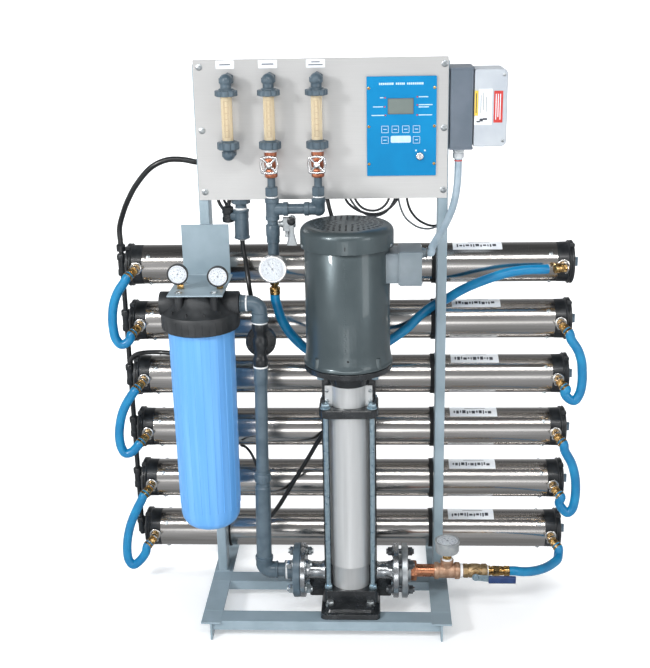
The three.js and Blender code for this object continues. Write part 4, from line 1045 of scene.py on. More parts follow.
for sx in (-57, 57):
    for sy in (-40, 40):
        x, y = PUMP_X + sx, PUMP_Y + sy
        stay += [rod((x, y, BASE_TOP), (x, y, 606), 6, 24), rod((x, y, 597), (x, y, 599.4), 13, 28),
                 nut((x, y, 599), (x, y, 609), 10.5), nut((x, y, BASE_TOP), (x, y, BASE_TOP + 11), 10.5)]
piece("staybolts", "unit", zinc_blue, stay, 0.3)
motor_bolts = []
for turn in range(4):
    t = math.radians(turn * 90 + 45)
    x, y = PUMP_X + 92 * math.cos(t), PUMP_Y + 92 * math.sin(t)
    motor_bolts += [nut((x, y, 682), (x, y, 691), 9.5), rod((x, y, 689), (x, y, 691.2), 12, 24)]
piece("motor_bolts", "unit", zinc_blue, motor_bolts, 0.3)

bend = math.asin(25.5 / 48)
angles = np.linspace(-math.pi + bend, -bend, 40)
shell = [(PUMP_X - 58, PUMP_Y - 25.5), *[(PUMP_X + 48 * math.cos(a), PUMP_Y + 48 * math.sin(a))
                                         for a in angles],
         (PUMP_X + 58, PUMP_Y - 25.5), (PUMP_X + 58, PUMP_Y - 24.2),
         *[(PUMP_X + 46.7 * math.cos(a), PUMP_Y + 46.7 * math.sin(a)) for a in angles[::-1]],
         (PUMP_X - 58, PUMP_Y - 24.2)]
piece("guard", "unit", satin_steel, [bar(shell, "z", PUMP_HEAD_TOP + 0.3, 650.3)], 0.2,
      ["coupling_guard"])
piece("guard_screws", "unit", bolt_zinc,
      [turned((PUMP_X + s, PUMP_Y - 25.4, z), (PUMP_X + s, PUMP_Y - 30, z),
              [(4.8, 0), (4.4, 1.8), (2, 3), (0.3, 3.2)], 24) for s in (-53, 53) for z in (611, 637)], 0.1)


# Motor: glossy grey-green enamel on a rolled casing with a lapped seam, bolted flange below, a pressed fan
# cover with a ring of slots above, and a conduit box with a lid on the right.
FAN_LOW, FAN_RADIUS = 996.0, 110.5

motor_green = mottled("motor_green", (0.062, 0.084, 0.092), (0.076, 0.100, 0.108), 0.38, grain=9, relief=0.16,
                      fine=180.0, Coat_Weight=0.3, Metallic=0.45)
box_green = mottled("box_green", (0.15, 0.19, 0.215), (0.18, 0.22, 0.25), 0.34, grain=20, relief=0.2,
                    fine=220.0, Coat_Weight=0.2)
shadow_black = mottled("shadow_black", (0.006, 0.007, 0.008), (0.010, 0.011, 0.012), 0.7, grain=50,
                       relief=0.02)

low, high = (PUMP_X, PUMP_Y, STOOL_TOP), (PUMP_X, PUMP_Y, FAN_LOW)
casing = [
    turned(low, high, [(20, 0.4), (105, 0.4), (108, 2), (108, 6), (106, 8.5), (105, 12), (103.4, 22),
                       (102.2, 33), (101.5, 44), (101.5, 285), (100.4, 286.5), (100.4, 289.6), (20, 289.6)],
                       128),
]
for turn in range(0, 360, 90):
    t = math.radians(turn + 45)
    c, n = math.cos(t), math.sin(t)
    casing.append(cast(PUMP_X + 99 * c, PUMP_Y + 99 * n, 9, 9, 5, 712, 736, 2))
piece("motor_casing", "unit", motor_green, casing, 0.6, ["motor_body"])
seam = []
for n, z in enumerate(np.arange(758, 986, 4.6)):
    turn = math.radians(-92 + (1.1, -0.6, 0.4, -1.2)[n % 4])
    c, w = math.cos(turn), math.sin(turn)
    seam.append(turned((PUMP_X + 100 * c, PUMP_Y + 100 * w, z), (PUMP_X + 102.3 * c, PUMP_Y + 102.3 * w, z),
                       [(1.7, 0), (1.7, 1.5), (0.9, 1.9), (0.2, 2.0)], 8))
piece("motor_seam", "unit", motor_green, seam, 0)
holes = [rod((PUMP_X + 2, PUMP_Y - 100, 738), (PUMP_X + 2, PUMP_Y - 102.5, 738), 2.6, 16),
         block((PUMP_X - 2.6, PUMP_X - 0.8), (PUMP_Y - 110.9, PUMP_Y - 109), (1006, 1015))]
piece("motor_holes", "unit", shadow_black, holes, 0)

HOOD_TOP, CORNER = 1049.0, 19.0
swing = np.radians(np.linspace(0, 84, 10))
shoulder = [(FAN_RADIUS - CORNER * (1 - math.cos(a)), HOOD_TOP - 2 - CORNER * (1 - math.sin(a)))
            for a in swing]
dome = [*shoulder, (84, 1047.6), (60, 1048.6), (20, HOOD_TOP)]
inside = [(r - 2.9, z - (2.9 if z > FAN_LOW else 0)) for r, z in dome[::-1]]
hood = [turned((PUMP_X, PUMP_Y, 0), (PUMP_X, PUMP_Y, 1), [*inside, (FAN_RADIUS - 2.9, FAN_LOW),
                                                          (FAN_RADIUS, FAN_LOW), *dome], 128, loop=True),
        rod((PUMP_X, PUMP_Y, 1045), (PUMP_X, PUMP_Y, 1048.8), 22, 40)]
slots = []
for ring, count, long in ((30, 12, 8), (43, 18, 9), (56, 24, 9), (69, 30, 9), (82, 36, 9)):
    inner, outer = (float(np.interp(r, [d[0] for d in dome[::-1]], [d[1] for d in dome[::-1]]))
                    for r in (ring - long / 2, ring + long / 2))
    for turn in range(count):
        t = 2 * math.pi * (turn + 0.5 * (ring % 2)) / count
        out = np.array([math.cos(t), math.sin(t), 0])
        beside = np.array([-out[1], out[0], 0]) * 2.3
        a = np.array([PUMP_X, PUMP_Y, 0]) + out * (ring - long / 2) + (0, 0, inner + 0.15)
        b = np.array([PUMP_X, PUMP_Y, 0]) + out * (ring + long / 2) + (0, 0, outer + 0.15)
        top_ring = np.array([a - beside, b - beside, b + beside, a + beside])
        slots.append(grid(np.array([top_ring - (0, 0, 1.2), top_ring])))
piece("fan_hood", "unit", motor_green, hood, 0.3, ["fan_cover"])
piece("fan_slots", "unit", shadow_black, slots, 0)
hood_screws = []
for turn in (-160, -20, 60, 120):
    t = math.radians(turn)
    c, n = math.cos(t), math.sin(t)
    a = (PUMP_X + 110.2 * c, PUMP_Y + 110.2 * n, 1002)
    screw_head = [(4.6, 0), (4.2, 1.4), (2.0, 2.2), (0.3, 2.3)]
    hood_screws.append(turned(a, (a[0] + 4 * c, a[1] + 4 * n, 1002), screw_head, 20))
piece("fan_hood_screws", "unit", bolt_zinc, hood_screws, 0)

box_y, box_half = -240.0, 50.0
conduit_box = [
    bar([(y, z) for y, z in rounded(box_y, 947, box_half - 6, 36, 4)], "x", 150, 184),
    bar([(y, z) for y, z in rounded(box_y, 947, box_half, 41, 5)], "x", 185.5, 236.6),
    bar([(y, z) for y, z in rounded(box_y, 947, box_half - 1.5, 39.5, 4)], "x", 182, 188),
    turned((234, box_y, 974), (250, box_y, 974), [(13, 0), (13, 8), (11.5, 9), (11.5, 16)], 8),
]
piece("conduit_box", "unit", box_green, conduit_box, 0.8)
piece("conduit_box_screws", "unit", bolt_zinc,
      [turned((236, y, z), (240, y, z), [(4.4, 0), (4.2, 1.8), (2, 2.8), (0.3, 3)], 20)
       for y in (box_y - 42, box_y + 42) for z in (914, 980)], 0)
piece("conduit_box_gland", "unit", cable_grey,
      [turned((248, box_y, 974), (250.6, box_y, 974), [(14, 0), (14, 1.4), (12, 2.6)], 12)], 0.2)


# Feed pipe: filter to pump. An elbow, a black solenoid valve with its bonnet and coil behind, then grey PVC
# pipe with a union, down to an elbow and a flange.
def leaning(z0, z1, profile, sides=48):
    """Surface of revolution on the leaning pipe's line, with heights counted from z0."""
    return turned((inlet_x(z0), INLET_Y, z0), (inlet_x(z1), INLET_Y, z1), profile, sides)


bend_turn = np.radians(np.linspace(0, 90, 14))
elbow_path = [(-190, INLET_Y, FILTER_PORT_Z)] + [
    (INLET_TOP_X - 22 + 22 * math.sin(a), INLET_Y, FILTER_PORT_Z - 22 + 22 * math.cos(a)) for a in bend_turn
] + [(inlet_x(815), INLET_Y, 815)]
feed_elbow = [
    swept(elbow_path, 18.6, 40),
    socket((-183, INLET_Y, FILTER_PORT_Z), (-198.6, INLET_Y, FILTER_PORT_Z), 20, 1.4, 6),
    leaning(830, 806.4, [(18, 0), (20, 1), (20, 17), (21.4, 18.5), (21.4, 22.5), (19, 23.5)]),
]
piece("feed_elbow", "unit", pvc, feed_elbow, 0.4, ["inlet_elbow"])
valve_z = 750.0
valve_x = inlet_x(valve_z)
solenoid = [
    leaning(692, 806, [(12, 0), (17, 0.5), (18, 3), (18, 22), (15.5, 26), (14.5, 40), (17.8, 46), (18, 70),
                       (14.5, 76), (15.5, 88), (18, 92), (18, 110), (17, 113.5), (12, 114)]),
    turned((valve_x, INLET_Y + 6, valve_z), (valve_x, INLET_Y + 40, valve_z),
           [(14, 0), (16, 4), (35, 5), (37, 6.5), (37, 20), (35, 21.5), (34, 23), (36.5, 25), (36.5, 30),
            (30, 31), (12, 33)], 64),
    bar(rounded(valve_x, INLET_Y + 50, 15.6, 15.6, 3), "z", valve_z - 16, valve_z + 33.6),
    turned((valve_x, INLET_Y + 50, valve_z + 33), (valve_x, INLET_Y + 50, valve_z + 34), [(8, 0), (7, 0.6)],
           24),
]
for turn in range(8):
    t = math.radians(turn * 45 + 22)
    a = np.array([valve_x + 31 * math.cos(t), INLET_Y + 8.5, valve_z + 31 * math.sin(t)])
    solenoid.append(nut(a, a + (0, 6, 0), 4.2))
for turn in range(6):
    t = math.radians(turn * 60)
    c, n = math.cos(t), math.sin(t)
    for z in (697, 787):
        x = inlet_x(z)
        rib_x, rib_y = x + 17.4 * c, INLET_Y + 17.4 * n
        solenoid.append(rod((rib_x, rib_y, z), (rib_x, rib_y, z + 14), 2, 8))
piece("solenoid_valve", "unit", cap_black, solenoid, 0.6, ["inlet_valve"])

feed_pipe = [
    leaning(645, 691.6, [(14, 0), (16.4, 0.5), (17.5, 3), (17.5, 40), (17, 41), (17, 46)]),
    leaning(400, 650, [(15.8, 0), (15.8, 250)]),
    leaning(366, 413, [(15, 0), (18, 1), (18, 12), (16.6, 13), (16.6, 17), (20.0, 18), (20.6, 20), (20.6, 38),
                       (19.4, 40), (17.5, 41), (17.5, 47)]),
    leaning(168, 370, [(18.2, 0), (19.6, 1.5), (19.6, 200), (18, 202)]),
    leaning(142, 172, [(21, 0), (21.6, 2), (21.6, 18), (23, 20), (23, 28), (20, 30)]),
    socket((INLET_FOOT_X + 12, INLET_Y, PUMP_PORT_Z), (INLET_FOOT_X + 36, INLET_Y, PUMP_PORT_Z), 21.4, 1.4,
           6),
    rod((INLET_FOOT_X + 30, INLET_Y, PUMP_PORT_Z), (-84, INLET_Y, PUMP_PORT_Z), 18.4, 48),
    turned((-112, INLET_Y, PUMP_PORT_Z), (-80, INLET_Y, PUMP_PORT_Z),
           [(18, 0), (24, 1), (24, 24), (28, 26), (28, 30)], 48),
    flange(-86, -68.3, 69.6),
]
corner = [(INLET_FOOT_X + 20 - 20 * math.cos(a), INLET_Y, PUMP_PORT_Z + 20 - 20 * math.sin(a))
          for a in bend_turn]
feed_pipe.append(swept([(inlet_x(160), INLET_Y, 160), *corner, (INLET_FOOT_X + 26, INLET_Y, PUMP_PORT_Z)],
                       21.2, 40))
for turn in range(16):
    t = math.radians(turn * 22.5)
    c, n = math.cos(t), math.sin(t)
    x = inlet_x(396)
    rib_x, rib_y = x + 20.2 * c, INLET_Y + 20.2 * n
    feed_pipe.append(rod((rib_x, rib_y, 386), (rib_x, rib_y, 402), 1.4, 6))
piece("feed_pipe", "unit", pvc, feed_pipe, 0.4, ["inlet_pipework"])
piece("feed_tapes", "unit", tape_white, [
    tape((inlet_x(803), INLET_Y, 803), (inlet_x(809), INLET_Y, 809), 18.6),
    tape((inlet_x(690), INLET_Y, 690), (inlet_x(694), INLET_Y, 694), 17.8),
    tape((-107.5, INLET_Y, PUMP_PORT_Z), (-103, INLET_Y, PUMP_PORT_Z), 24.3),
    tape((-184, INLET_Y, FILTER_PORT_Z), (-180, INLET_Y, FILTER_PORT_Z), 19.6),
], 0)


# Delivery side: steel flange, copper nipple and tee with a gauge facing up, a brass ball valve and the
# hose fitting. The lever turns on the valve's front.
LEVER_X, LEVER_Y = 381.0, -272.0
copper = mottled("copper", (0.52, 0.21, 0.11), (0.62, 0.29, 0.17), 0.3, grain=60, relief=0.15, Metallic=0.95)
cast_copper = mottled("cast_copper", (0.42, 0.25, 0.16), (0.56, 0.37, 0.26), 0.42, grain=90, relief=0.5,
                      fine=420.0, Metallic=0.75)
rough_brass = mottled("rough_brass", (0.38, 0.26, 0.13), (0.54, 0.40, 0.24), 0.45, grain=120, relief=0.5,
                      fine=500.0, Metallic=1.0)


def on_line(x0, x1, profile, sides=48):
    """Surface of revolution on the pump's port line, with distances counted from x0."""
    return turned((x0, PUMP_Y, PUMP_PORT_Z), (x1, PUMP_Y, PUMP_PORT_Z), profile, sides)


piece("delivery_flange", "unit", zinc_plate,
      [on_line(185.3, 194, [(16, 0), (40, 0.2), (40, 8.7)]), flange(192.4, 207.6, 69.6),
       on_line(207, 216, [(30, 0), (28, 9), (16, 9)])], 0.5, ["outlet_pipework"])
piece("delivery_nipple", "unit", copper, [
    on_line(214, 232, [(20, 0), (26, 1), (27, 3), (27, 14), (25, 17), (17, 18)], 8),
    on_line(229, 282, [(16.4, 0), (16.4, 53)])], 0.4)
copper_line = [
    on_line(276, 342, [(18, 0), (21.4, 1), (22, 2.5), (22, 11), (19.4, 13), (19.4, 52), (22, 54), (22, 63),
                       (21, 66), (18, 66)]),
    turned((309, PUMP_Y, PUMP_PORT_Z), (309, PUMP_Y, 163), [(17, 0), (15, 18), (15, 22), (17, 23.4), (17, 32),
                                                            (12, 33)], 40),
    on_line(339, 352, [(16.5, 0), (16.5, 13)], 40),
]
piece("delivery_tee", "unit", cast_copper, copper_line, 0.4)
ball_valve = [
    on_line(350, 366, [(15, 0), (18.5, 1), (19, 3), (19, 12), (16, 15)], 8),
    on_line(362, 398, [(15.5, 0), (17.6, 4), (18.6, 12), (18.6, 24), (17.6, 31), (15.5, 36)], 48),
    on_line(396, 413, [(15, 0), (18.6, 2), (19, 4), (19, 14), (16, 17)], 8),
    turned((LEVER_X, PUMP_Y, PUMP_PORT_Z), (LEVER_X, LEVER_Y + 0.5, PUMP_PORT_Z),
           [(14, 0), (14, 18), (12, 20), (8, 21), (8, 31.5)], 32),
]
piece("ball_valve", "unit", rough_brass, ball_valve, 0.4)
fitting = [
    on_line(411, 428, [(12, 0), (13.4, 1), (13.4, 9), (11, 10), (11, 13), (13, 14), (13, 17)], 32),
    on_line(427, 444, [(13, 0), (15, 1), (15, 15), (13.4, 17)], 6),
    on_line(443, 470, [(11, 0), (12.4, 1), (12.4, 9), (11, 11), (13.2, 13), (13.2, 26), (11, 27)], 32),
]
piece("hose_fitting", "unit", brass, fitting, 0.3)
piece("gauge_pipe", "unit", brass,
      [rod((309, PUMP_Y, 160), (309, PUMP_Y, 188), 7.4, 24), nut((309, PUMP_Y, 166), (309, PUMP_Y, 179),
                                                                 12)], 0.3)
piece("delivery_tapes", "unit", tape_white, [
    tape((343, PUMP_Y, PUMP_PORT_Z), (349.6, PUMP_Y, PUMP_PORT_Z), 18.2),
    tape((411.4, PUMP_Y, PUMP_PORT_Z), (415, PUMP_Y, PUMP_PORT_Z), 15.4),
    tape((309, PUMP_Y, 162), (309, PUMP_Y, 167), 13.4)], 0)
gauge("delivery_gauge", (309, PUMP_Y, 217.6), (0, 0, 1), (0.3, 0.954, 0), 32, 32, gauge_rubber,
      0.3)

sleeve_blue = mottled("sleeve_blue", (0.008, 0.030, 0.115), (0.012, 0.042, 0.15), 0.4, grain=60, relief=0.15,
                      Coat_Weight=0.15)
plate = [bar([(PUMP_PORT_Z - 8, LEVER_X), (PUMP_PORT_Z + 7.5, LEVER_X), (PUMP_PORT_Z + 5, LEVER_X + 44),
              (PUMP_PORT_Z - 14, LEVER_X + 44)][::-1], "y", LEVER_Y - 3.8, LEVER_Y - 1.2),
         turned((LEVER_X, LEVER_Y - 0.4, PUMP_PORT_Z), (LEVER_X, LEVER_Y - 4, PUMP_PORT_Z),
                [(9.6, 0), (9.8, 1), (9.8, 3.2)], 40),
         nut((LEVER_X, LEVER_Y - 3.6, PUMP_PORT_Z), (LEVER_X, LEVER_Y - 6, PUMP_PORT_Z), 7.5)]
piece("lever_plate", "outlet_lever", zinc_blue, plate, 0.3, ["outlet_valve_lever"])
grip = [bar(rounded(LEVER_Y - 4.5, PUMP_PORT_Z - 5, 5.2, 10, 4.6, 6), "x", LEVER_X + 32, LEVER_X + 101)]
piece("lever_grip", "outlet_lever", sleeve_blue, grip, 1.2)


# Flowmeters: PVC elbows through the panel, scalloped union nuts, and a clear tube, yellowed by age, with a
# printed scale. The float's body stands on a short guide pin and rides up in the tube.
METER_TOP, TUBE_TOP, TUBE_LOW, PANEL_FRONT = 1371.0, 1336.0, 1229.0, -118.3

amber_tube = Finish("amber_tube", Roughness=0.12, Coat_Weight=0.5, Alpha=0.55)
haze = amber_tube.noise(40.0, 3.0, (1, 1, 0.2))
amber_tube.set("Base Color", amber_tube.mix(haze, (0.74, 0.58, 0.34), (0.90, 0.80, 0.60)))
amber_tube.bump(haze, 0.1)
amber_tube = amber_tube.material
scale_ink = mottled("scale_ink", (0.10, 0.06, 0.03), (0.16, 0.10, 0.05), 0.5, grain=200, relief=0.01)
float_grey = mottled("float_grey", (0.10, 0.11, 0.12), (0.18, 0.19, 0.20), 0.35, grain=200, relief=0.03,
                     Metallic=0.6)
wheel_chrome = mottled("wheel_chrome", (0.78, 0.78, 0.78), (0.88, 0.88, 0.88), 0.16, grain=60, relief=0.03,
                       Metallic=1.0)
bronze_red = mottled("bronze_red", (0.34, 0.10, 0.055), (0.50, 0.20, 0.11), 0.42, grain=110, relief=0.4,
                     fine=400.0, Metallic=0.8)


def union_nut(x, y, z0, z1, radius, lobes=8):
    """Nut with hollows between its lobes: r = radius - 1.6 (1 - |cos(lobes t / 2)|)."""
    t = 2 * np.pi * np.arange(96) / 96
    rings = []
    for z, inset in ((z0, 2.5), (z0 + 1.5, 0), (z1 - 1.5, 0), (z1, 2.5)):
        r = radius - inset - 3.4 * (1 - np.abs(np.cos(lobes * t / 2)) ** 0.6)
        rings.append(np.column_stack([x + r * np.cos(t), y + r * np.sin(t), np.full(96, z)]))
    return grid(np.array(rings))


def panel_elbow(x, z, way):
    """Elbow at height z whose socket looks up or down and whose nipple goes back through the panel."""
    shapes = [sphere((x, METER_Y, z), 15.6, 40),
              rod((x, METER_Y, z), (x, PANEL_FRONT - 0.4, z), 13, 40),
              turned((x, PANEL_FRONT - 10, z), (x, PANEL_FRONT - 0.3, z), [(13, 0), (15.6, 1), (15.6, 9)], 6),
              rod((x, PANEL_FRONT - 1, z), (x, -97.5, z), 9.8, 24),
              turned((x, -114.8, z), (x, -103, z), [(15.5, 0), (16, 1), (16, 10), (15, 11.5)], 6),
              rod((x, METER_Y, z), (x, METER_Y, z + way * 26), 13, 40)]
    for turn in range(20):
        t = 2 * math.pi * turn / 20
        shapes.append(rod((x + 15.2 * math.cos(t), METER_Y + 15.2 * math.sin(t), z - 5),
                          (x + 15.2 * math.cos(t), METER_Y + 15.2 * math.sin(t), z + 6), 0.9, 6))
    return shapes


for k, x in enumerate(METER_X):
    ends = panel_elbow(x, METER_TOP, -1)
    ends.append(union_nut(x, METER_Y, TUBE_TOP - 0.5, TUBE_TOP + 14, 27))
    nut_top = TUBE_TOP + 13
    ends.append(turned((x, METER_Y, nut_top), (x, METER_Y, nut_top + 5), [(19, 0), (17, 4), (14, 5)], 40))
    ends.append(union_nut(x, METER_Y, TUBE_LOW - 17.5, TUBE_LOW + 1, 26.5))
    ends.append(turned((x, METER_Y, TUBE_LOW + 1), (x, METER_Y, TUBE_LOW + 4), [(19, 0), (16, 3)], 40))
    if k == 0:
        ends += panel_elbow(x, 1200, 1)
        ends.append(rod((x, -104, 1200), (x - 21, -104, 1200), 9, 24))
    piece(f"meter_ends_{k + 1}", "unit", pvc, ends, 0.4)
    tube = [turned((x, METER_Y, TUBE_LOW), (x, METER_Y, TUBE_TOP),
                   [(10.6, 0.5), (14, 0.5), (13.2, 6), (13.6, 100), (14, 106.5), (10.6, 106.5)], 64,
                   loop=True)]
    for turn in (-150, -30):
        t = math.radians(turn)
        spot = (x + 13.2 * math.cos(t), METER_Y + 13.2 * math.sin(t))
        tube.append(rod((*spot, TUBE_LOW + 4), (*spot, TUBE_TOP - 4), 1.0, 8))
    piece(f"meter_tube_{k + 1}", "unit", amber_tube, tube, 0, [f"flowmeter_{k + 1}"])
    ticks = []
    for n in range(31):
        wide, z = (7.5, 4.6, 4.6, 4.6, 4.6)[n % 5], TUBE_LOW + 12 + n * 2.8
        for left in (False, True):
            edge = -6.6 if left else 6.6
            a = np.linspace(edge, edge + (wide if left else -wide), 5)
            y = METER_Y - np.sqrt(13.75 ** 2 - a ** 2)
            ring = [(x + p, q) for p, q in zip(a, y)] + [(x + p, q + 0.3) for p, q in zip(a[::-1], y[::-1])]
            ticks.append(bar(ring, "z", z, z + 0.55))
    piece(f"meter_scale_{k + 1}", "unit", scale_ink, ticks, 0)
    low, high = (x, METER_Y, TUBE_LOW + 3), (x, METER_Y, TUBE_LOW + 26)
    piece(f"meter_plug_{k + 1}", f"float_{k + 1}", float_grey,
          [turned(low, high, [(0.4, 0), (4.6, 0.4), (7.8, 13.6), (8, 15), (8, 20), (6, 21), (2.4, 22),
                              (0.4, 22)], 32)],
          0, [f"flowmeter_float_{k + 1}"])

pipe_y = METER_Y
wheel_back = -194.0
a_x, b_x = METER_X[1], METER_X[2]


def upright_pipe(x, z0, z1, profile, sides=40):
    """Surface of revolution on an upright pipe in the flowmeters' plane, with distances counted from z0."""
    return turned((x, pipe_y, z0), (x, pipe_y, z1), profile, sides)


# Under the flowmeters: bronze globe valves with four-lobed chrome wheels, and PVC nipples and tees that bring
# both legs together into one column with a gauge and the sampling cock.
for k, x in ((1, a_x), (2, b_x)):
    body = [
        upright_pipe(x, 1143, 1210, [(10, 0), (14.5, 1), (15.5, 3), (15.5, 12), (12.6, 16), (12.6, 22)], 8),
        upright_pipe(x, 1160, 1200, [(9, 0), (14, 5), (15.8, 14), (15.8, 26), (14, 35), (9, 40)]),
        upright_pipe(x, 1194, 1209.6, [(12, 0), (15, 2), (15, 14), (14, 15)], 8),
        turned((x, pipe_y, 1180), (x, wheel_back - 0.5, 1180), [(12, 0), (12, 12), (13.6, 13), (13.6, 20),
                                                                (9, 21.5),
                                                               (6, 22), (6, 28)], 6),
    ]
    piece(f"globe_valve_{k}", "unit", bronze_red, body, 0.5)
    t = 2 * np.pi * np.arange(128) / 128
    lobed = 22.6 + 4.2 * (0.5 - 0.5 * np.cos(4 * t)) ** 4
    y0, thick = -214.0, 7.0
    rings = []
    for v in 2 * np.pi * np.arange(16) / 16:
        r = lobed - 3.2 + 3.2 * math.cos(v)
        rings.append(np.column_stack([x + r * np.cos(t),
                                      np.full(128, y0 + thick / 2 - thick / 2 * math.sin(v)),
                                      1180 + r * np.sin(t)]))
    wheel = [grid(np.array(rings), loop=True),
             turned((x, y0 - 1.8, 1180), (x, wheel_back, 1180), [(0.4, 0), (5, 0), (7.6, 2), (7.8, 8),
                                                                 (6, 11), (5, 19)],
                    32),
             nut((x, y0 - 0.5, 1180), (x, y0 - 2, 1180), 4.6)]
    for turn in (45, 135, 225, 315):
        c, n = math.cos(math.radians(turn)), math.sin(math.radians(turn))
        a = (x + 5 * c, y0 + 3.5, 1180 + 5 * n)
        wheel.append(turned(a, (x + 23 * c, y0 + 3.5, 1180 + 23 * n), [(2.4, 0), (2.8, 9), (4.0, 18)], 16))
    piece(f"handwheel_{k}", f"handwheel_{k}", wheel_chrome, wheel, 0, [f"valve_handwheel_{k}"])

nipples, bodies = [], []
for x in (a_x, b_x):
    nipples += [upright_pipe(x, 1120, 1146, [(9.6, 0), (9.6, 26)]),
                upright_pipe(x, 1092, 1102, [(12.8, 0), (12.8, 10)])]
    bodies.append(upright_pipe(x, 1099, 1121, [(13, 0), (16.6, 1.5), (16.6, 20), (14, 22)], 6))
bodies += [
    upright_pipe(a_x, 1094, 1040, [(13, 0), (17, 1), (17, 10), (15.4, 12), (15.4, 42), (17, 44), (17, 53)]),
    turned((a_x, pipe_y, 1067), (a_x + 39, pipe_y, 1067), [(15, 0), (15, 26), (17, 28), (17, 38), (14, 39)],
           40),
    turned((a_x + 36, pipe_y, 1067), (b_x - 32, pipe_y, 1067), [(12.6, 0), (12.6, 44)], 40),
    turned((b_x, pipe_y, 1067), (b_x - 35, pipe_y, 1067), [(15.2, 0), (15.2, 22), (17, 24), (17, 34),
                                                           (14, 35)], 40),
    upright_pipe(b_x, 1094, 1067, [(13, 0), (17, 1), (17, 11), (15.6, 13), (15.6, 27)]),
    sphere((b_x, pipe_y, 1065), 15.9),
    upright_pipe(a_x, 1042, 984, [(13, 0), (13, 12), (15.6, 13), (17, 15), (17, 40), (15.8, 42), (15.8, 57),
                                  (14, 58)]),
    upright_pipe(a_x, 990, 944, [(13.6, 0), (13.6, 46)]),
    upright_pipe(a_x, 950, 894, [(13, 0), (16, 1.5), (16, 12), (14.6, 14), (14.6, 42), (16, 44), (16, 54),
                                 (15, 56)]),
    turned((a_x, pipe_y, 929), (a_x, pipe_y - 21, 929), [(12, 0), (12, 13), (13.6, 14), (13.6, 20),
                                                         (9, 21)], 32),
]
piece("column_pvc", "unit", pvc, nipples + bodies, 0.4, ["panel_pipework"])
piece("column_tapes", "unit", tape_white,
      [tape((x, pipe_y, z), (x, pipe_y, z + 3.4), r) for x in (a_x, b_x) for z, r in ((1095, 13.6),)]
      + [tape((x, pipe_y, 1205), (x, pipe_y, 1210.4), 15.6) for x in (a_x, b_x)], 0)
piece("column_foot", "unit", brass,
      [upright_pipe(a_x, 900, 854, [(9, 0), (9, 6), (12.8, 7), (12.8, 20), (9, 22), (9, 28), (11.4, 29),
                                    (11.4, 33), (10, 34), (12.4, 36), (12.4, 44), (10, 46)], 6),
       upright_pipe(a_x, 872, 854, [(12.6, 0), (13.4, 2), (13.4, 8), (11, 9), (13, 11), (13, 17),
                                    (11, 18)])], 0.3)
gauge("column_gauge", (a_x, -213, 929), (0, -1, 0), (0.1, 0, 0.995), 34, 28, gauge_steel, 0.36)
piece("column_gauge_neck", "unit", brass,
      [turned((a_x, -205, 929), (a_x, -184, 929), [(7, 0), (8.5, 12), (8.5, 21)], 6)], 0.2)

wing_x, wing_y, wing_z = -72.0, -190.0, 1043.0
cock = [
    turned((a_x + 14, pipe_y, 1030), (-96, pipe_y, 1030), [(7, 0), (7, 11)], 24),
    bar(rounded(-84, pipe_y, 11, 8.6, 3), "z", 1014, 1046),
    turned((-99, pipe_y, 1030), (-64, pipe_y, 1030), [(7, 0), (8.6, 1), (8.6, 34), (7, 35)], 24),
    turned((-84, pipe_y, 1014), (-84, pipe_y, 998), [(6, 0), (5.6, 10), (6.4, 12), (6.4, 16)], 24),
    turned((wing_x, pipe_y, wing_z), (wing_x, wing_y + 0.5, wing_z), [(9, 0), (9, 14), (5, 16),
                                                                      (4.4, 24.5)], 24),
]
piece("sample_cock", "unit", zinc_plate, cock, 0.4)
wing_half = [(4.6, 3), (4.2, -14), (5.0, -30), (8.4, -48), (12.0, -59.6)]
wing_outline = wing_half + [(-x, z) for x, z in wing_half[::-1]]
wing = [bar([(wing_z + z, wing_x + x) for x, z in wing_outline][::-1], "y", wing_y - 4.8, wing_y - 2.4)]
for x in (-1, 1):
    wing.append(swept([(wing_x + x * 4.4, wing_y - 3.6, wing_z), (wing_x + x * 5, wing_y - 4, wing_z - 30),
                       (wing_x + x * 11.4, wing_y - 4, wing_z - 58)], 1.5, 10))
piece("sample_wing", "sample_lever", zinc_plate, wing, 0.2, ["sample_valve_lever"])
piece("sample_knob", "sample_lever", cap_black,
      [turned((wing_x, wing_y - 9, wing_z), (wing_x, wing_y, wing_z), [(0.4, 0), (8, 0.4), (10.2, 2),
                                                                       (10.5, 9)], 24)],
      0.2)


# Panel: brushed stainless sheet with a folded top, screwed to the uprights through washers. Blank white
# labels stand over the flowmeters.
PANEL_HALF, PANEL_LOW, PANEL_TOP, PANEL_STEEL = 302.0, 1081.0, 1415.0, 3.0
CUT_X, CUT_Z = (123.0, 261.0), (1158.0, 1352.0)

brushed_panel = Finish("brushed_panel", Metallic=0.5)
brush = brushed_panel.noise(160.0, 3.0, (0.06, 1, 3))
stain = brushed_panel.noise(3.5, 2.0)
brushed_panel.set("Base Color", brushed_panel.mix(brush * 0.5 + stain * 0.5, (0.50, 0.50, 0.495),
                                                  (0.62, 0.62, 0.615)))
brushed_panel.set("Roughness", 0.30 + stain * 0.10)
brushed_panel.bump(brush, 0.012)
brushed_panel = brushed_panel.material

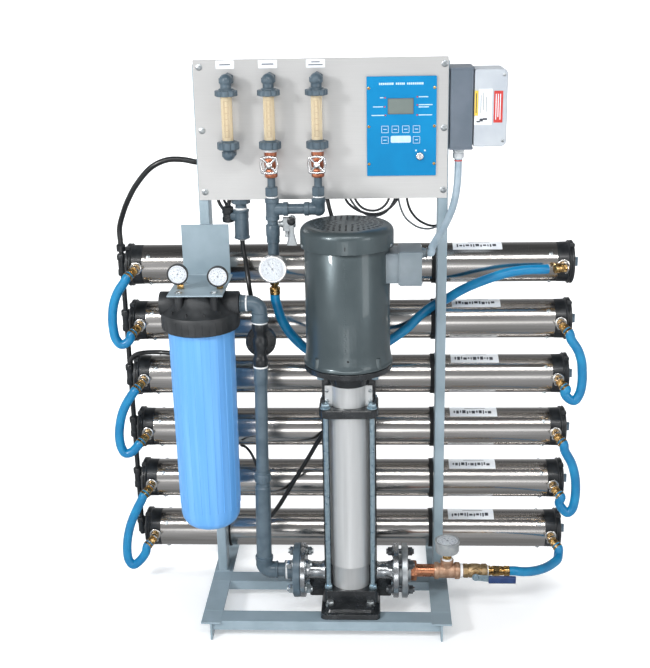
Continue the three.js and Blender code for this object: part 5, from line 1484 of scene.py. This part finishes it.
back = PANEL_FRONT + PANEL_STEEL
sheet = [
    block((-PANEL_HALF, CUT_X[0]), (PANEL_FRONT, back), (PANEL_LOW, PANEL_TOP)),
    block((CUT_X[1], PANEL_HALF), (PANEL_FRONT, back), (PANEL_LOW, PANEL_TOP)),
    block((CUT_X[0] - 0.01, CUT_X[1] + 0.01), (PANEL_FRONT, back), (PANEL_LOW, CUT_Z[0])),
    block((CUT_X[0] - 0.01, CUT_X[1] + 0.01), (PANEL_FRONT, back), (CUT_Z[1], PANEL_TOP)),
    block((-PANEL_HALF, PANEL_HALF), (PANEL_FRONT + 1, PANEL_FRONT + 12), (PANEL_TOP - 2.4, PANEL_TOP)),
]
piece("panel_sheet", "unit", brushed_panel, sheet, 0, ["instrument_panel"])
panel_screws = []
for x in (-287, 293):
    for z in (1399, 1250, 1101):
        front = (x, PANEL_FRONT, z)
        panel_screws += [turned(front, (x, PANEL_FRONT - 1.4, z), [(8, 0), (8, 0.8), (7.2, 1.4)], 28),
                         turned((x, PANEL_FRONT - 1.2, z), (x, PANEL_FRONT - 5, z),
                                [(4.6, 0), (4.4, 0.7), (3.2, 1.0), (0.4, 1.1)], 24)]
piece("panel_screws", "unit", zinc_plate, panel_screws, 0)
tags = []
for x0, x1 in ((-247, -203), (-146, -101), (-33, 12)):
    tags.append(bar([(z, x) for x, z in rounded((x0 + x1) / 2, 1404, (x1 - x0) / 2, 9.6, 2)][::-1], "y",
                    PANEL_FRONT - 0.9, PANEL_FRONT - 0.05))
piece("meter_tags", "unit", label_white, tags, 0.2)
tag_bars = []
for x, z, half, tall in ((-225, 1404, 13, 1.4), (-123.5, 1404, 14, 1.4), (-10.5, 1407.5, 10, 1.3),
                         (-10.5, 1401, 17, 1.3)):
    printed = (PANEL_FRONT - 1.15, PANEL_FRONT - 0.8)
    tag_bars.append(block((x - half, x + half), printed, (z - tall, z + tall)))
piece("meter_tag_bars", "unit", mark_grey, tag_bars, 0)


# Controller: blue faced plate with a display, six keys, small lamps, and a key switch. Its lettering is
# stood in for by plain bars.
FACE_X, FACE_Z, FACE_Y = (109.0, 274.5), (1137.0, 1372.0), -124.0

face_blue = mottled("face_blue", (0.0005, 0.20, 0.45), (0.001, 0.225, 0.49), 0.45, grain=12, relief=0.04,
                    Specular_IOR_Level=0.2)
face_print = mottled("face_print", (0.46, 0.66, 0.80), (0.56, 0.74, 0.85), 0.5, grain=100, relief=0.01)
key_blue = mottled("key_blue", (0.0006, 0.18, 0.42), (0.001, 0.20, 0.45), 0.45, grain=80, relief=0.02,
                   Specular_IOR_Level=0.2)
screen = Finish("screen", Roughness=0.15, Coat_Weight=0.6)
glow = screen.noise(30.0, 2.0)
screen.set("Base Color", screen.mix(glow, (0.13, 0.165, 0.155), (0.18, 0.215, 0.20)))
screen.bump(glow, 0.02)
screen = screen.material
lamp_red = mottled("lamp_red", (0.45, 0.02, 0.02), (0.60, 0.04, 0.03), 0.3, grain=300, relief=0.01)


def on_face(x0, x1, z0, z1, lift, radius=1.0, sink=0.3):
    """Rounded plate on the controller's face, raised by lift."""
    outline = rounded((x0 + x1) / 2, (z0 + z1) / 2, (x1 - x0) / 2, (z1 - z0) / 2, radius, 4)
    return bar([(z, x) for x, z in outline][::-1], "y", FACE_Y - lift, FACE_Y + sink)


def face_frame(x0, x1, z0, z1, wide, lift):
    """Four thin bars round a rectangle on the face."""
    return [on_face(x0, x1, z1 - wide, z1, lift, 0.2), on_face(x0, x1, z0, z0 + wide, lift, 0.2),
            on_face(x0, x0 + wide, z0, z1, lift, 0.2), on_face(x1 - wide, x1, z0, z1, lift, 0.2)]


plate = rounded((FACE_X[0] + FACE_X[1]) / 2, (FACE_Z[0] + FACE_Z[1]) / 2, (FACE_X[1] - FACE_X[0]) / 2,
                (FACE_Z[1] - FACE_Z[0]) / 2, 2.5)
face = [bar([(z, x) for x, z in plate][::-1], "y", FACE_Y, PANEL_FRONT - 0.3),
        block((CUT_X[0] + 2, CUT_X[1] - 2), (PANEL_FRONT - 1, -66), (CUT_Z[0] + 2, CUT_Z[1] - 2))]
piece("controller_face", "unit", face_blue, face, 0.4, ["controller"])
lcd_x, lcd_z = (160.0, 219.0), (1285.0, 1320.0)
piece("display_rim", "unit", cable_grey,
      face_frame(lcd_x[0] - 1, lcd_x[1] + 1, lcd_z[0] - 1, lcd_z[1] + 1, 1.2, 1.4), 0.2)
piece("display", "unit", screen, [on_face(*lcd_x, *lcd_z, 0.5, 0.6)], 0)
key_spots = [(152.4, 1248.5), (176.9, 1248.5), (201.8, 1248.5), (227.2, 1248.5), (152.4, 1223), (227.4, 1223)]
keys, key_edges = [], []
for x, z in key_spots:
    keys.append(on_face(x - 8, x + 8, z - 8, z + 8, 0.6, 2))
    key_edges += face_frame(x - 8.4, x + 8.4, z - 8.4, z + 8.4, 1.1, 0.9)
    key_edges += [on_face(x - 4, x + 4, z - 0.8, z + 0.8, 1.0, 0.3)]
piece("keys", "unit", key_blue, keys, 0)
prints = list(key_edges)
prints += [on_face(138.5 + n * 4.4, 141.8 + n * 4.4, 1352.4, 1357.4, 0.35, 0.4)
           for n in range(24) if n not in (8, 14)]
LEFT_MARKS = ((140.7, 149, 1322.7), (124.3, 147.7, 1301.6), (120.7, 150, 1281.6))
RIGHT_MARKS = ((232, 254.5, 1323.9), (232, 265, 1305.4), (232, 256, 1300.2), (232, 264, 1281.6))
prints += [on_face(x0, x1, z - 1.1, z + 1.1, 0.35, 0.3) for x0, x1, z in LEFT_MARKS + RIGHT_MARKS]
prints += [on_face(x - 2, x + 2, 1195.4, 1199.4, 0.35, 0.6) for x in (226.4, 247.5)]
prints += [on_face(166, 214, 1216.5, 1233, 0.35, 3.5)]
piece("face_prints", "unit", face_print, prints, 0)
lamps = [turned((x, FACE_Y, z), (x, FACE_Y - 1.2, z), [(1.9, 0), (1.7, 0.8), (0.3, 1.2)], 16)
         for x, z in ((153, 1322.7), (152, 1301.6), (153.6, 1281.6), (228.7, 1323.9), (228.7, 1304.8),
                      (228.7, 1281.6))]
piece("face_lamps", "unit", lamp_red, lamps, 0)
piece("face_screws", "unit", brass,
      [turned((x, FACE_Y, z), (x, FACE_Y - 1.8, z), [(3.6, 0), (3.4, 1), (1.6, 1.7), (0.3, 1.8)], 20)
       for x in (114, 269.5) for z in (1345, 1255, 1166)], 0)
key_x, key_z = 235.5, 1184.0
barrel = [turned((key_x, FACE_Y - 0.3, key_z), (key_x, FACE_Y - 5.3, key_z),
                 [(10, 0), (10, 2), (8.4, 4.6), (7.4, 5), (7, 4.2), (0.4, 4.2)], 40),
          bar(rounded(key_x, FACE_Y - 7.2, 1.6, 2.8, 1.0, 4), "z", key_z - 7, key_z + 7)]
piece("key_barrel", "key_switch", wheel_chrome, barrel, 0.2, ["controller_key_switch"])


# Motor starter on the panel's right: grey enamel box, pale plastic cover with round corners and plain colour
# labels, and a gland for the motor's conduit.
STARTER_X, STARTER_Y, STARTER_Z = (305.3, 362.0), (-128.0, -18.0), (1196.0, 1392.0)

box_grey = mottled("box_grey", (0.105, 0.135, 0.17), (0.13, 0.16, 0.20), 0.34, grain=14, relief=0.12,
                   fine=240.0, Coat_Weight=0.15)
cover_pale = mottled("cover_pale", (0.43, 0.47, 0.52), (0.49, 0.53, 0.57), 0.38, grain=16, relief=0.12,
                     fine=300.0, Coat_Weight=0.1)
gland_white = mottled("gland_white", (0.55, 0.58, 0.60), (0.64, 0.67, 0.69), 0.4, grain=60, relief=0.05)
label_red = mottled("label_red", (0.50, 0.035, 0.03), (0.60, 0.05, 0.04), 0.45, grain=80, relief=0.01)
label_yellow = mottled("label_yellow", (0.80, 0.53, 0.06), (0.86, 0.60, 0.09), 0.45, grain=80, relief=0.01)

mid_x, mid_y = (STARTER_X[0] + STARTER_X[1]) / 2, (STARTER_Y[0] + STARTER_Y[1]) / 2
half_x, half_y = (STARTER_X[1] - STARTER_X[0]) / 2, (STARTER_Y[1] - STARTER_Y[0]) / 2
starter = [bar(rounded(mid_x, mid_y, half_x - 1.4, half_y - 1.4, 5), "z", STARTER_Z[0] + 4, STARTER_Z[1] - 4)]
for z0, z1 in ((STARTER_Z[0] + 2, STARTER_Z[0] + 7), (STARTER_Z[1] - 7, STARTER_Z[1] - 2)):
    starter.append(bar(rounded(mid_x, mid_y, half_x, half_y, 6), "z", z0, z1))
piece("starter_shell", "unit", box_grey, starter, 0.8, ["starter_box"])
gland = [turned((330, -91, 1197), (330, -91, 1172), [(14, 0), (14, 8), (12.4, 9), (12.4, 11), (13.8, 12),
                                                     (13.8, 22), (12, 25)], 12)]
piece("starter_gland", "unit", gland_white, gland, 0.4)
lid_x, lid_z = (362.4, 441.0), (1204.0, 1386.0)
corner = np.radians(np.linspace(0, 90, 8))
lid = [(lid_x[0], lid_z[0]), *[(lid_x[1] - 14 + 14 * math.sin(a), lid_z[0] + 14 - 14 * math.cos(a))
                               for a in corner],
       *[(lid_x[1] - 14 + 14 * math.cos(a), lid_z[1] - 14 + 14 * math.sin(a)) for a in corner],
       (lid_x[0], lid_z[1])]
piece("starter_lid", "unit", cover_pale,
      [bar([(z, x) for x, z in lid][::-1], "y", -122, -24)], 4.0, ["starter_cover"])
piece("starter_lid_screws", "unit", zinc_plate,
      [turned((432, -122, z), (432, -124.4, z), [(4, 0), (3.6, 1.4), (1.6, 2.2), (0.3, 2.4)], 20)
       for z in (1218, 1372)], 0)


def on_lid(name, finish, patches):
    """Flat labels on the lid's front."""
    shapes = [block(x, (-122.7, -121.9), z) for x, z in patches]
    piece(name, "unit", finish, shapes, 0)


on_lid("lid_label_yellow", label_yellow, [((363.6, 372), (1278, 1336))])
on_lid("lid_label_white", label_white, [((373.2, 405), (1256, 1340)), ((364, 373.4), (1256, 1277))])
on_lid("lid_label_red", label_red, [((409, 430), (1261, 1335))])
strokes = [((366.6, 368.6), (1284, 1330)), ((378, 379.2), (1284, 1326)), ((384, 385), (1290, 1332)),
           ((391, 392), (1286, 1322)), ((369, 377), (1262, 1265.6)), ((376, 384), (1264, 1271)),
           ((384, 394), (1267.4, 1272))]
piece("lid_label_print", "unit", print_black,
      [block(x, (-122.95, -122.5), z) for x, z in strokes], 0)
piece("lid_label_pale_print", "unit", label_white,
      [block((413 + 5 * n, 415 + 5 * n), (-122.95, -122.5), (1268 + 6 * (n % 2), 1328)) for n in range(3)], 0)
piece("conduit_ring", "unit", label_red,
      [turned((330, -91, 1169), (330, -91, 1166), [(9.6, 0), (9.9, 1), (9.9, 2), (9.6, 3)], 32)], 0)


# Rotor: shaft, impellers, coupling and fan of turned steel. It shows only through gaps, so the CAD shape is
# kept as it is.
rotor_steel = mottled("rotor_steel", (0.42, 0.43, 0.44), (0.56, 0.57, 0.58), 0.35, grain=60, relief=0.1,
                      stretch=(1, 1, 8), Metallic=1.0)
rotor = bpy.data.objects["pump_rotor"]
rotor.data.materials.clear()
rotor.data.materials.append(rotor_steel)
